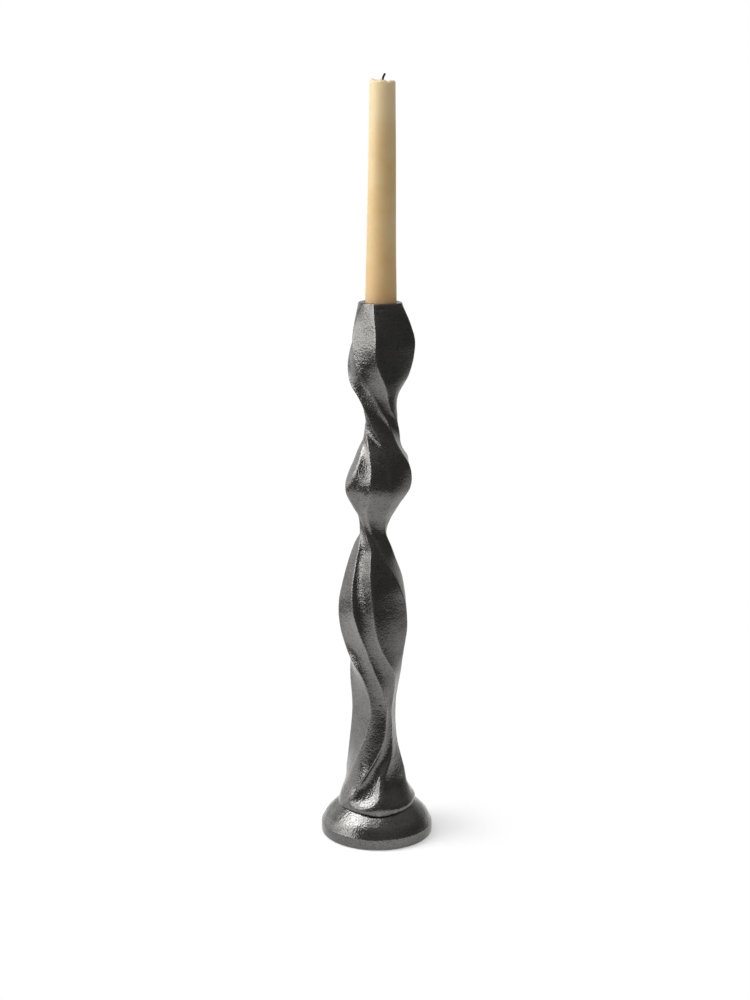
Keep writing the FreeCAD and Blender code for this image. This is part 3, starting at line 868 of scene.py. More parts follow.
@dataclass(frozen=True)
class CastingSkin:
    """Geometry Nodes tree that gives a smooth form the swells and pits that a sand mould leaves."""

    swell_depth_mm: float = 0.10
    swell_size_mm: float = 9.0
    ripple_depth_mm: float = 0.035
    ripple_size_mm: float = 3.0
    pit_depth_mm: float = 0.18
    pit_radius_mm: float = 0.9
    pits_per_m2: float = 1200.0
    noise_span: tuple[float, float] = (0.25, 0.75)
    sharp_angle: float = 50.0
    seed: int = 3

    def tree(self) -> bpy.types.GeometryNodeTree:
        """The tree, made once.

        Returns:
            The tree.
        """
        found = bpy.data.node_groups.get("casting_skin")
        if found:
            return found
        numbers = (
            "Swell depth", "Swell size", "Ripple depth", "Ripple size",
            "Pit depth", "Pit radius", "Pits per m2",
        )
        kinds = {label: "NodeSocketFloat" for label in numbers}
        kinds.update({"Seed": "NodeSocketInt", "Finish": "NodeSocketMaterial"})
        tree, given = new_tree("casting_skin", kinds)
        swell = self.wave(tree, given["Swell depth"], given["Swell size"], given["Seed"])
        ripple = self.wave(tree, given["Ripple depth"], given["Ripple size"], given["Seed"])
        both = add_node(tree, "ShaderNodeMath", {"operation": "ADD"}, {0: swell, 1: ripple})
        pits = self.pits(tree, given)
        rise = add_node(tree, "ShaderNodeMath", {"operation": "SUBTRACT"}, {0: both.outputs[0], 1: pits})
        cast = add_node(tree, "GeometryNodeInputNamedAttribute", {"data_type": "FLOAT"}, {"Name": "cast"})
        held = add_node(
            tree,
            "ShaderNodeMath",
            {"operation": "MULTIPLY"},
            {0: rise.outputs[0], 1: cast.outputs["Attribute"]},
        )
        normal = add_node(tree, "GeometryNodeInputNormal")
        shift = add_node(
            tree,
            "ShaderNodeVectorMath",
            {"operation": "SCALE"},
            {0: normal.outputs["Normal"], "Scale": held.outputs[0]},
        )
        moved = add_node(
            tree,
            "GeometryNodeSetPosition",
            inputs={"Geometry": given["Geometry"], "Offset": shift.outputs[0]},
        )
        end_tree(tree, moved.outputs["Geometry"], given["Finish"])
        return tree

    def wave(
        self,
        tree: bpy.types.GeometryNodeTree,
        depth: bpy.types.NodeSocket,
        size: bpy.types.NodeSocket,
        seed: bpy.types.NodeSocket,
    ) -> bpy.types.NodeSocket:
        """Rise and fall of the surface about its own level.

        Args:
            tree: The tree.
            depth: From the level to a high place, in metres.
            size: Width of a high place, in metres.
            seed: Picks the pattern.

        Returns:
            The rise, in metres.
        """
        scale = add_node(tree, "ShaderNodeMath", {"operation": "DIVIDE"}, {0: 1.0, 1: size})
        noise = add_node(
            tree, "ShaderNodeTexNoise", {"noise_dimensions": "4D"}, {"Scale": scale.outputs[0], "W": seed}
        )
        level = add_node(
            tree,
            "ShaderNodeMapRange",
            inputs={
                "Value": noise.outputs["Fac"],
                "From Min": self.noise_span[0],
                "From Max": self.noise_span[1],
                "To Min": -1.0,
                "To Max": 1.0,
            },
        )
        return add_node(
            tree, "ShaderNodeMath", {"operation": "MULTIPLY"}, {0: level.outputs["Result"], 1: depth}
        ).outputs[0]

    def pits(self, tree: bpy.types.GeometryNodeTree, given: dict[str, Any]) -> bpy.types.NodeSocket:
        """Depth of the small pits, scattered at random.

        Args:
            tree: The tree.
            given: The tree's inputs by name.

        Returns:
            The depth, in metres.
        """
        spots = add_node(
            tree,
            "GeometryNodeDistributePointsOnFaces",
            inputs={"Mesh": given["Geometry"], "Density": given["Pits per m2"], "Seed": given["Seed"]},
        )
        near = add_node(
            tree, "GeometryNodeProximity", {"target_element": "POINTS"}, {0: spots.outputs["Points"]}
        )
        return add_node(
            tree,
            "ShaderNodeMapRange",
            {"interpolation_type": "SMOOTHSTEP"},
            {
                "Value": near.outputs["Distance"],
                "From Min": 0.0,
                "From Max": given["Pit radius"],
                "To Min": given["Pit depth"],
                "To Max": 0.0,
            },
        ).outputs["Result"]

    def apply(self, piece: bpy.types.Object, finish: Finish) -> None:
        """Give a piece this skin.

        Args:
            piece: The piece. Its "cast" attribute is 1 where the skin shows and 0 where it is machined.
            finish: Its finish.
        """
        grow(piece, self.tree(), {
            "Swell depth": self.swell_depth_mm * MM,
            "Swell size": self.swell_size_mm * MM,
            "Ripple depth": self.ripple_depth_mm * MM,
            "Ripple size": self.ripple_size_mm * MM,
            "Pit depth": self.pit_depth_mm * MM,
            "Pit radius": self.pit_radius_mm * MM,
            "Pits per m2": self.pits_per_m2,
            "Seed": self.seed,
            "Finish": finish.material(),
        })
        piece.data.set_sharp_from_angle(angle=math.radians(self.sharp_angle))


@dataclass
class DomedFoot:
    """The cast foot: a plain band, a dome, and the seats under it."""

    radius: float = 41.0
    height: float = 30.0
    band_height: float = 8.6
    band_crown: float = 0.3
    base: float = 0.5
    edge_round: float = 0.8
    edge_skin: float = 0.3
    land_radius: float = 21.5
    spigot_radius: float = 10.0
    spigot_top: float = 35.0
    hole_radius: float = 4.5
    counterbore_radius: float = 8.5
    counterbore_top: float = 12.0
    recess_radius: float = 37.3
    recess_top: float = 1.8
    around: int = 300
    band_rows: int = 14
    dome_rows: int = 64
    finish: Finish = field(default_factory=BlackenedCasting)

    def dome_track(self) -> Track:
        """Curve of the dome.

        Returns:
            Its radius by height, in millimetres.
        """
        rise = self.height - self.band_height
        rows = [(self.band_height + height * rise, radius * self.radius) for radius, height in DOME_SHARES]
        return Track([*rows, (self.height, self.land_radius)])

    def profile(self) -> list[tuple[float, float, float]]:
        """Half profile, all the way round it.

        Returns:
            Radius, height, and how much of the casting's skin shows there, from 0 to 1.
        """
        dome = self.dome_track()
        edge = self.radius - self.edge_round
        waist = (self.base + self.band_height) / 2
        rows = [
            (self.hole_radius, self.counterbore_top, 0.0),
            (self.counterbore_radius, self.counterbore_top, 0.0),
            (self.counterbore_radius, self.recess_top, 0.0),
            (self.recess_radius, self.recess_top, 0.0),
            (self.recess_radius, self.base, 0.0),
            (edge - self.edge_round, self.base, self.edge_skin),
        ]
        for share in np.linspace(0, 1, self.band_rows):
            height = self.base + share * (self.band_height - self.base)
            swing = ((height - waist) / (self.band_height - waist)) ** 2
            tuck = max(0.0, 1 - (height - self.base) / self.edge_round) ** 2
            rows.append((self.radius - swing * self.band_crown - tuck * self.edge_round / 2, height, 1.0))
        for height in np.linspace(self.band_height, self.height, self.dome_rows)[1:]:
            rows.append((float(dome(np.array(height))), float(height), 1.0))
        rows += [
            (self.spigot_radius, self.height, 0.0),
            (self.spigot_radius, self.spigot_top, 0.0),
            (self.hole_radius, self.spigot_top, 0.0),
        ]
        return rows

    def build(self) -> bpy.types.Object:
        """Build the foot, in place of the CAD one.

        Returns:
            The piece.
        """
        radii, heights, cast = np.array(self.profile()).T
        bearing = np.linspace(0, 2 * math.pi, self.around, endpoint=False)
        rings = rings_about_axis(radii[:, None], heights[:, None], bearing)
        mesh = ring_mesh("foot_casting", rings, Ends.LOOP)
        store(mesh, "cast", np.repeat(cast, self.around))
        piece = add_piece("foot_casting", mesh)
        CastingSkin(seed=8).apply(piece, self.finish)
        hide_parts("domed_foot")
        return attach(piece, "holder")


@dataclass
class TwistedStem:
    """The cast stem: six folds wound round a spine, from the hem on the dome to the rim."""

    foot: DomedFoot
    holder_height: float = 393.0
    fold_reach: float = 24.7
    rim_radius: float = 15.8
    hem_height: float = 21.0
    hem_roll: float = 2.2
    hem_blend_top: float = 60.0
    seam: float = 0.3
    rim_round: float = 0.8
    rim_inset: float = 0.15
    socket_radius: float = 11.3
    socket_depth: float = 25.0
    lead_in: float = 0.6
    recess_radius: float = 10.15
    recess_top: float = 35.5
    thread_radius: float = 4.05
    thread_top: float = 53.4
    facet_columns: int = 26
    crest_columns: int = 7
    survey_rows: int = 1400
    wall_rows: int = 424
    hem_rows: int = 9
    land_rows: int = 5
    rim_rows: int = 7
    rim_flat_shares: Sequence[float] = (0.35, 0.7, 1.0)
    skinned_hem_rows: int = 6
    wear_mm: float = 1.6
    finish: Finish = field(default_factory=BlackenedCasting)

    # A crest that is rounded over falls short of its fold, so the fold is pushed out by a share of the
    # rounding, which fades out just below the rim. At most a share of a facet's run is rounded.
    rounding_loss: float = 0.3
    rim_fade: float = 0.08
    rounding_most: float = 0.3

    # Pits left by the sand on the front: sideways place, height, radius and depth.
    pits: Sequence[tuple[float, float, float, float]] = (
        (0.2, 389.7, 1.2, 0.5), (-6.5, 329.3, 1.1, 0.5), (-0.5, 282.9, 1.1, 0.4), (2.3, 280.4, 1.3, 0.5),
        (4.6, 272.2, 0.9, 0.4), (8.8, 200.6, 1.2, 0.5), (2.3, 102.9, 1.3, 0.4), (-15.8, 263.1, 1.2, 0.5),
        (15.4, 180.3, 1.0, 0.3),
    )

    def crests(self, share: np.ndarray) -> list[np.ndarray]:
        """Plan places of the six crests at some height shares.

        Args:
            share: The height shares.

        Returns:
            For each fold, sideways and depth places in millimetres, by share.
        """
        rim = [(1.0, self.rim_radius)]
        folds = [(place, reach * self.fold_reach) for place, reach in REACH_SHARES]
        skirt = [(place, reach * self.foot.radius) for place, reach in SKIRT_SHARES]
        reach = Track(rim + folds + skirt)(share)
        spine = Track([(place, offset * self.fold_reach) for place, offset in SPINE_SHARES])(share)
        below_rim = np.clip((1 - share) / self.rim_fade, 0, 1)
        found = []
        tracks = zip(fold_tracks(TWIST_SHARES), fold_tracks(PRIDE_SHARES), fold_tracks(ROUND_ROWS))
        for bearing, pride, rounding in tracks:
            angle = np.radians(bearing(share))
            out = reach * pride(share) + self.rounding_loss * rounding(share) * below_rim
            found.append(np.stack([spine + out * np.sin(angle), -out * np.cos(angle)], -1))
        return found

    def section(self, share: np.ndarray) -> tuple[np.ndarray, np.ndarray]:
        """Cross-sections of the stem with their crests rounded over.

        Args:
            share: The height shares.

        Returns:
            Plan places by share and column, and how near each column is to a crest, from 0 to 1.
        """
        crests = self.crests(share)
        hollows, leans, rounds = (fold_tracks(rows) for rows in (HOLLOW_SHARES, LEAN_SHARES, ROUND_ROWS))
        facets = []
        for i, start in enumerate(crests):
            end = crests[(i + 1) % len(crests)]
            chord = end - start
            lean = leans[i](share)[:, None]
            inward = np.stack([-chord[:, 1], chord[:, 0]], -1)
            pull = start * (1 - lean) + end * lean + inward * hollows[i](share)[:, None]
            first = rounds[i](share) / (2 * np.linalg.norm(pull - start, axis=1))
            last = rounds[(i + 1) % len(crests)](share) / (2 * np.linalg.norm(end - pull, axis=1))
            first, last = (np.minimum(length, self.rounding_most)[:, None] for length in (first, last))
            facets.append((start, pull, end, first, 1 - last))
        columns = []
        for i, crest in enumerate(crests):
            before = facets[i - 1]
            after = facets[i]
            arrive = blend_between(*before[:3], before[4])
            leave = blend_between(*after[:3], after[3])
            for t in np.linspace(0, 1, self.crest_columns):
                columns.append(blend_between(arrive, crest, leave, t))
            for t in np.linspace(0, 1, self.facet_columns + 2)[1:-1]:
                columns.append(blend_between(*after[:3], after[3] * (1 - t) + after[4] * t))
        nearness = [np.exp(-(min_gap(column, crests) / self.wear_mm) ** 2) for column in columns]
        return np.stack(columns, 1), np.stack(nearness, 1)

    def outer_rings(self) -> tuple[np.ndarray, np.ndarray]:
        """Rings of the outside, from the edge of the hem to the start of the rim's rounding.

        Returns:
            The rings in millimetres, and how near each vertex is to a crest.
        """
        share = np.linspace(0, 1, self.survey_rows)
        level = self.hem_height + share * (self.holder_height - self.hem_height)
        plan, nearness = self.section(share)
        dome = self.foot.dome_track()
        even = np.linspace(self.hem_height, self.holder_height - self.rim_round, self.wall_rows)
        rings = np.zeros((self.wall_rows, plan.shape[1], 3))
        wear = np.zeros(rings.shape[:2])
        low = level < self.foot.height
        for column in range(plan.shape[1]):
            x, y = plan[:, column].T
            clear = np.hypot(x, y)[low] - dome(level[low]) - self.seam
            seat = float(np.interp(0, clear, level[low]))
            start = seat + self.hem_roll
            stretch = (self.hem_blend_top - start) / (self.hem_blend_top - self.hem_height)
            blended = self.hem_blend_top - (self.hem_blend_top - even) * stretch
            height = np.where(even < self.hem_blend_top, blended, even)
            rings[:, column] = np.stack(
                [np.interp(height, level, x), np.interp(height, level, y), height], -1
            )
            wear[:, column] = np.interp(height, level, nearness[:, column])
        return rings, wear

    def on_dome(self, toward: np.ndarray, height: np.ndarray) -> np.ndarray:
        """Ring that follows the dome, a seam's width away from it.

        Args:
            toward: Plan direction of each column.
            height: Height of each column, as one column of numbers.

        Returns:
            The ring in millimetres.
        """
        return np.hstack([toward * (self.foot.dome_track()(height) + self.seam), height])

    def hem_rings(self, first: np.ndarray) -> np.ndarray:
        """Rings that roll the hem under to the dome and run in along it to the land.

        Args:
            first: The lowest ring of the outside.

        Returns:
            The rings from the land outwards, in millimetres.
        """
        toward = first[:, :2] / np.linalg.norm(first[:, :2], axis=1, keepdims=True)
        tip_height = first[:, 2:] - self.hem_roll
        under_height = tip_height + self.hem_roll * math.sqrt(0.5)
        tip = self.on_dome(toward, tip_height)
        under = self.on_dome(toward, under_height)
        inner = [
            self.on_dome(toward, self.foot.height * (1 - t) + under_height * t)
            for t in np.linspace(0, 1, self.land_rows)[:-1]
        ]
        rolled = [blend_between(under, tip, first, t) for t in np.linspace(0, 1, self.hem_rows)[:-1]]
        return np.stack(inner + rolled)

    def core_rings(self, toward: np.ndarray) -> np.ndarray:
        """Rings of the spigot's recess and the screw's thread, from the inside out.

        Args:
            toward: Plan direction of each column.

        Returns:
            The rings in millimetres.
        """
        profile = (
            (self.thread_radius, self.thread_top),
            (self.thread_radius, self.recess_top),
            (self.recess_radius, self.recess_top),
            (self.recess_radius, self.foot.height),
        )
        return self.turned(profile, toward)

    def rim_rings(self, last: np.ndarray) -> np.ndarray:
        """Rings of the rounded rim, its flat top and the socket.

        Args:
            last: The highest ring of the outside.

        Returns:
            The rings in millimetres.
        """
        out = np.linalg.norm(last[:, :2], axis=1, keepdims=True)
        toward = last[:, :2] / out
        top = np.full_like(out, self.holder_height)
        corner = np.hstack([toward * (out - self.rim_inset), top])
        inner = np.hstack([toward * (out - self.rim_round - self.rim_inset), top])
        rounded = [blend_between(last, corner, inner, t) for t in np.linspace(0, 1, self.rim_rows)[1:]]
        mouth = np.hstack([toward * (self.socket_radius + self.lead_in), top])
        flat = [inner * (1 - t) + mouth * t for t in self.rim_flat_shares]
        floor = self.holder_height - self.socket_depth
        profile = (
            (self.socket_radius, self.holder_height - self.lead_in),
            (self.socket_radius, floor + self.lead_in),
            (self.socket_radius, floor),
        )
        return np.concatenate([np.stack(rounded + flat), self.turned(profile, toward)])

    def turned(self, profile: Sequence[tuple[float, float]], toward: np.ndarray) -> np.ndarray:
        """Round rings, with their columns in given directions.

        Args:
            profile: Radius and height of each ring.
            toward: Plan direction of each column.

        Returns:
            The rings in millimetres.
        """
        level = np.ones((len(toward), 1))
        return np.stack([np.hstack([toward * radius, level * height]) for radius, height in profile])

    def sink_pits(self, rings: np.ndarray) -> np.ndarray:
        """Press the sand's pits into the outside.

        Args:
            rings: The rings of the outside.

        Returns:
            The rings with the pits in them.
        """
        made = rings.copy()
        front = np.where(rings[..., 1] < 0, 0.0, np.inf)
        for side, height, radius, depth in self.pits:
            miss = np.hypot(rings[..., 0] - side, rings[..., 2] - height) + front
            centre = rings[np.unravel_index(np.argmin(miss), miss.shape)]
            gap = np.linalg.norm(rings - centre, axis=-1)
            bowl = np.clip(1 - (gap / radius) ** 2, 0, 1)
            inward = -centre[:2] / np.linalg.norm(centre[:2])
            made[..., :2] += (depth * bowl)[..., None] * inward
        return made

    def build(self) -> bpy.types.Object:
        """Build the stem, in place of the CAD one.

        Returns:
            The piece.
        """
        outside, wear = self.outer_rings()
        hem = self.hem_rings(outside[0])
        toward = outside[0][:, :2] / np.linalg.norm(outside[0][:, :2], axis=1, keepdims=True)
        core = self.core_rings(toward)
        rim = self.rim_rings(outside[-1])
        rings = np.concatenate([core, hem, self.sink_pits(outside), rim])
        mesh = ring_mesh("stem_casting", rings, Ends.POLES)
        lower = len(core) + len(hem)
        upper = lower + len(outside)
        cast = np.zeros(rings.shape[:2])
        cast[lower - self.skinned_hem_rows:upper] = 1.0
        crest = np.zeros(rings.shape[:2])
        crest[lower:upper] = wear
        store(mesh, "cast", cast)
        store(mesh, "crest", crest)
        piece = add_piece("stem_casting", mesh)
        CastingSkin(seed=3).apply(piece, self.finish)
        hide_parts("twisted_stem")
        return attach(piece, "holder")


def min_gap(points: np.ndarray, others: Sequence[np.ndarray]) -> np.ndarray:
    """Distance from each point to the nearest of the other points in its row."""
    return np.min([np.linalg.norm(points - other, axis=1) for other in others], axis=0)


@dataclass
class TaperCandle:
    """The dipped candle: straight in the socket, tapered above it, with a burnt, uneven lip."""

    foot: float = 368.2
    top: float = 543.2
    taper_from: float = 393.0
    base_radius: float = 11.0
    top_radius: float = 8.7
    foot_bevel: float = 1.0
    shoulder_round: float = 1.4
    lip_width: float = 0.9
    melt_reach: float = 8.0
    lip_front_drop: float = 0.25
    pool_depth: float = 1.8
    pool_calm: float = 0.6
    climb_height: float = 0.7
    climb_width: float = 1.1
    wick_radius: float = 0.85
    wick_gap: float = 0.1
    wick_foot: float = 372.2
    around: int = 160
    wall_rows: int = 220
    shoulder_rows: int = 9
    pool_rows: int = 12
    wander_mm: float = 0.12
    wander_from: float = 4.0
    wander_full: float = 20.0
    finish: Finish = field(default_factory=TaperWax)

    # Waves in the dipped wall: strength, lobes round the candle, and millimetres of height per radian.
    waves: Sequence[tuple[float, int, float]] = ((1.0, 2, 31.0), (0.6, 3, -17.0))

    def profile(self) -> np.ndarray:
        """Half profile from the middle of the foot, up the wall, over the lip and down the wick's bore.

        Returns:
            Radius, height, and how far the lip's rise moves each point, by point.
        """
        rows = [
            (self.base_radius - self.foot_bevel, self.foot, 0.0),
            (self.base_radius, self.foot + self.foot_bevel, 0.0),
        ]
        shoulder = self.top - self.shoulder_round
        for height in np.linspace(self.foot + 2 * self.foot_bevel, shoulder, self.wall_rows):
            share = np.clip((height - self.taper_from) / (shoulder - self.taper_from), 0, 1)
            melt = np.clip((height - shoulder + self.melt_reach) / self.melt_reach, 0, 1)
            rows.append((self.base_radius + (self.top_radius - self.base_radius) * share, height, melt))
        for angle in np.linspace(0, math.pi / 2, self.shoulder_rows)[1:]:
            inset = self.shoulder_round * (1 - math.cos(angle))
            rows.append((self.top_radius - inset, shoulder + self.shoulder_round * math.sin(angle), 1.0))
        edge = self.top_radius - self.shoulder_round - self.lip_width
        for share in np.linspace(0, 1, self.pool_rows):
            radius = edge * (1 - share) + (self.wick_radius + self.wick_gap) * share
            dip = self.pool_depth * math.sin(share * math.pi / 2) ** 2
            climb = self.climb_height * math.exp(-((radius - self.wick_radius) / self.climb_width) ** 2)
            rows.append((radius, self.top - dip + climb, 1.0 - self.pool_calm * share))
        rows.append((self.wick_radius, self.top - self.pool_depth, 1.0 - self.pool_calm))
        rows.append((self.wick_radius, self.wick_foot, 0.0))
        return np.array(rows)

    def build(self) -> bpy.types.Object:
        """Build the candle, in place of the CAD one.

        Returns:
            The piece.
        """
        radii, heights, melts = (column[:, None] for column in self.profile().T)
        bearing = np.linspace(0, 2 * math.pi, self.around, endpoint=False)
        above = np.clip((heights - self.taper_from - self.wander_from) / self.wander_full, 0, 1)
        wave = sum(
            strength * np.sin(lobes * bearing + heights / twist) for strength, lobes, twist in self.waves
        )
        on_wall = radii > self.top_radius - self.shoulder_round
        reach = radii + np.where(on_wall, above * self.wander_mm * wave, 0)
        sideways = np.clip(np.sin(bearing) * radii / self.top_radius, -1, 1)
        rise = Track(LIP_ROWS)(sideways) - self.lip_front_drop * np.cos(bearing)
        mesh = ring_mesh("taper_wax", rings_about_axis(reach, heights + rise * melts, bearing), Ends.POLES)
        piece = add_piece("taper_wax", mesh)
        mesh.materials.append(self.finish.material())
        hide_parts("taper_candle")
        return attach(piece, "candle")


@dataclass
class CottonWick:
    """The wick: cotton strands laid round each other along a path that bends over above the wax."""

    foot: float = 372.2
    bend_start: float = 543.2
    bend_radius: float = 7.0
    bend_points: int = 9
    lean_angle: float = 28.0
    tip_length: float = 1.5
    radius: float = 0.8
    strands: int = 4
    strand_sides: int = 8
    strand_press: float = 1.12
    lay_mm: float = 5.0
    step_mm: float = 0.5
    finish: Finish = field(default_factory=BurntCotton)

    def path(self) -> list[Vector]:
        """The wick's line.

        Returns:
            Its points from the foot to the tip, in metres.
        """
        points = [Vector((0, 0, self.foot)), Vector((0, 0, (self.foot + self.bend_start) / 2))]
        for share in np.linspace(0, 1, self.bend_points):
            angle = math.radians(self.lean_angle * share)
            side = self.bend_radius * (1 - math.cos(angle))
            points.append(Vector((side, 0, self.bend_start + self.bend_radius * math.sin(angle))))
        lean = math.radians(self.lean_angle)
        points.append(points[-1] + Vector((math.sin(lean), 0, math.cos(lean))) * self.tip_length)
        return [point * MM for point in points]

    def tree(self) -> bpy.types.GeometryNodeTree:
        """Geometry Nodes tree that lays strands round a line.

        Returns:
            The tree.
        """
        kinds = {
            "Strands": "NodeSocketInt",
            "Strand sides": "NodeSocketInt",
            "Lay radius": "NodeSocketFloat",
            "Strand radius": "NodeSocketFloat",
            "Turns per metre": "NodeSocketFloat",
            "Step": "NodeSocketFloat",
            "Finish": "NodeSocketMaterial",
        }
        tree, given = new_tree("laid_strands", kinds)
        line = add_node(tree, "GeometryNodeMeshToCurve", inputs={"Mesh": given["Geometry"]})
        even = add_node(
            tree,
            "GeometryNodeResampleCurve",
            {"mode": "LENGTH"},
            {"Curve": line.outputs["Curve"], "Length": given["Step"]},
        )
        strands = add_node(
            tree,
            "GeometryNodeDuplicateElements",
            {"domain": "SPLINE"},
            {"Geometry": even.outputs["Curve"], "Amount": given["Strands"]},
        )
        along = add_node(tree, "GeometryNodeSplineParameter").outputs["Length"]
        turns = add_node(
            tree, "ShaderNodeMath", {"operation": "MULTIPLY"}, {0: along, 1: given["Turns per metre"]}
        )
        part = add_node(
            tree,
            "ShaderNodeMath",
            {"operation": "DIVIDE"},
            {0: strands.outputs["Duplicate Index"], 1: given["Strands"]},
        )
        whole = add_node(
            tree, "ShaderNodeMath", {"operation": "ADD"}, {0: turns.outputs[0], 1: part.outputs[0]}
        )
        angle = add_node(
            tree, "ShaderNodeMath", {"operation": "MULTIPLY"}, {0: whole.outputs[0], 1: math.tau}
        )
        offset = add_node(
            tree,
            "ShaderNodeVectorRotate",
            {"rotation_type": "AXIS_ANGLE"},
            {
                "Vector": add_node(tree, "GeometryNodeInputNormal").outputs["Normal"],
                "Axis": add_node(tree, "GeometryNodeInputTangent").outputs["Tangent"],
                "Angle": angle.outputs[0],
            },
        )
        out = add_node(
            tree,
            "ShaderNodeVectorMath",
            {"operation": "SCALE"},
            {0: offset.outputs["Vector"], "Scale": given["Lay radius"]},
        )
        laid = add_node(
            tree,
            "GeometryNodeSetPosition",
            inputs={"Geometry": strands.outputs["Geometry"], "Offset": out.outputs[0]},
        )
        round_section = add_node(
            tree,
            "GeometryNodeCurvePrimitiveCircle",
            inputs={"Resolution": given["Strand sides"], "Radius": given["Strand radius"]},
        )
        body = add_node(
            tree,
            "GeometryNodeCurveToMesh",
            inputs={
                "Curve": laid.outputs["Geometry"],
                "Profile Curve": round_section.outputs["Curve"],
                "Fill Caps": True,
            },
        )
        end_tree(tree, body.outputs["Mesh"], given["Finish"])
        return tree

    def build(self) -> bpy.types.Object:
        """Build the wick, in place of the CAD one.

        Returns:
            The piece.
        """
        points = self.path()
        line = bpy.data.meshes.new("wick_braid")
        line.from_pydata([tuple(p) for p in points], [(i, i + 1) for i in range(len(points) - 1)], [])
        piece = add_piece("wick_braid", line)
        # Four equal strands side by side in a round wick, pressed into each other a little.
        strand = self.radius / (1 + math.sqrt(2)) * self.strand_press
        grow(piece, self.tree(), {
            "Strands": self.strands,
            "Strand sides": self.strand_sides,
            "Lay radius": (self.radius - strand) * MM,
            "Strand radius": strand * MM,
            "Turns per metre": per_mm(self.lay_mm),
            "Step": self.step_mm * MM,
            "Finish": self.finish.material(),
        })
        piece.data.shade_smooth()
        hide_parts("cotton_wick")
        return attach(piece, "candle")


@dataclass
class Underside:
    """The pieces kept from the CAD model as they are, under and inside the foot."""

    felt: Finish = field(default_factory=WoolFelt)
    plating: Finish = field(default_factory=ZincPlate)

    def build(self) -> list[bpy.types.Object]:
        """Dress the kept pieces.

        Returns:
            The pieces.
        """
        finishes = {"felt_disc": self.felt, "foot_washer": self.plating, "foot_screw": self.plating}
        pieces = []
        for node, finish in finishes.items():
            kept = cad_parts[node]
            kept.data.materials.clear()
            kept.data.materials.append(finish.material())
            pieces.append(kept)
        return pieces


@dataclass(frozen=True)
class Lamp:
    """A soft lamp: where it stands as seen from the holder, its size, and how bright its face is."""

    name: str
    bearing: float
    elevation: float
    distance: float
    width: float
    height: float
    radiance: float
    shows: Shows = Shows.EVERYTHING

    def build(self, target: Vector) -> bpy.types.Object:
        """Place the lamp.

        Args:
            target: The point it faces.

        Returns:
            The lamp.
        """
        data = bpy.data.lights.new(self.name, "AREA")
        data.shape = "RECTANGLE"
        data.size = self.width
        data.size_y = self.height
        data.energy = self.radiance * math.pi * self.width * self.height
        lamp = bpy.data.objects.new(self.name, data)
        bpy.context.scene.collection.objects.link(lamp)
        lamp.visible_camera = False
        lamp.visible_diffuse = self.shows is Shows.EVERYTHING
        side, rise = math.radians(self.bearing), math.radians(self.elevation)
        away = Vector((math.sin(side) * math.cos(rise), -math.cos(side) * math.cos(rise), math.sin(rise)))
        lamp.location = target + away * self.distance
        lamp.rotation_euler = away.to_track_quat("Z", "Y").to_euler()
        return lamp


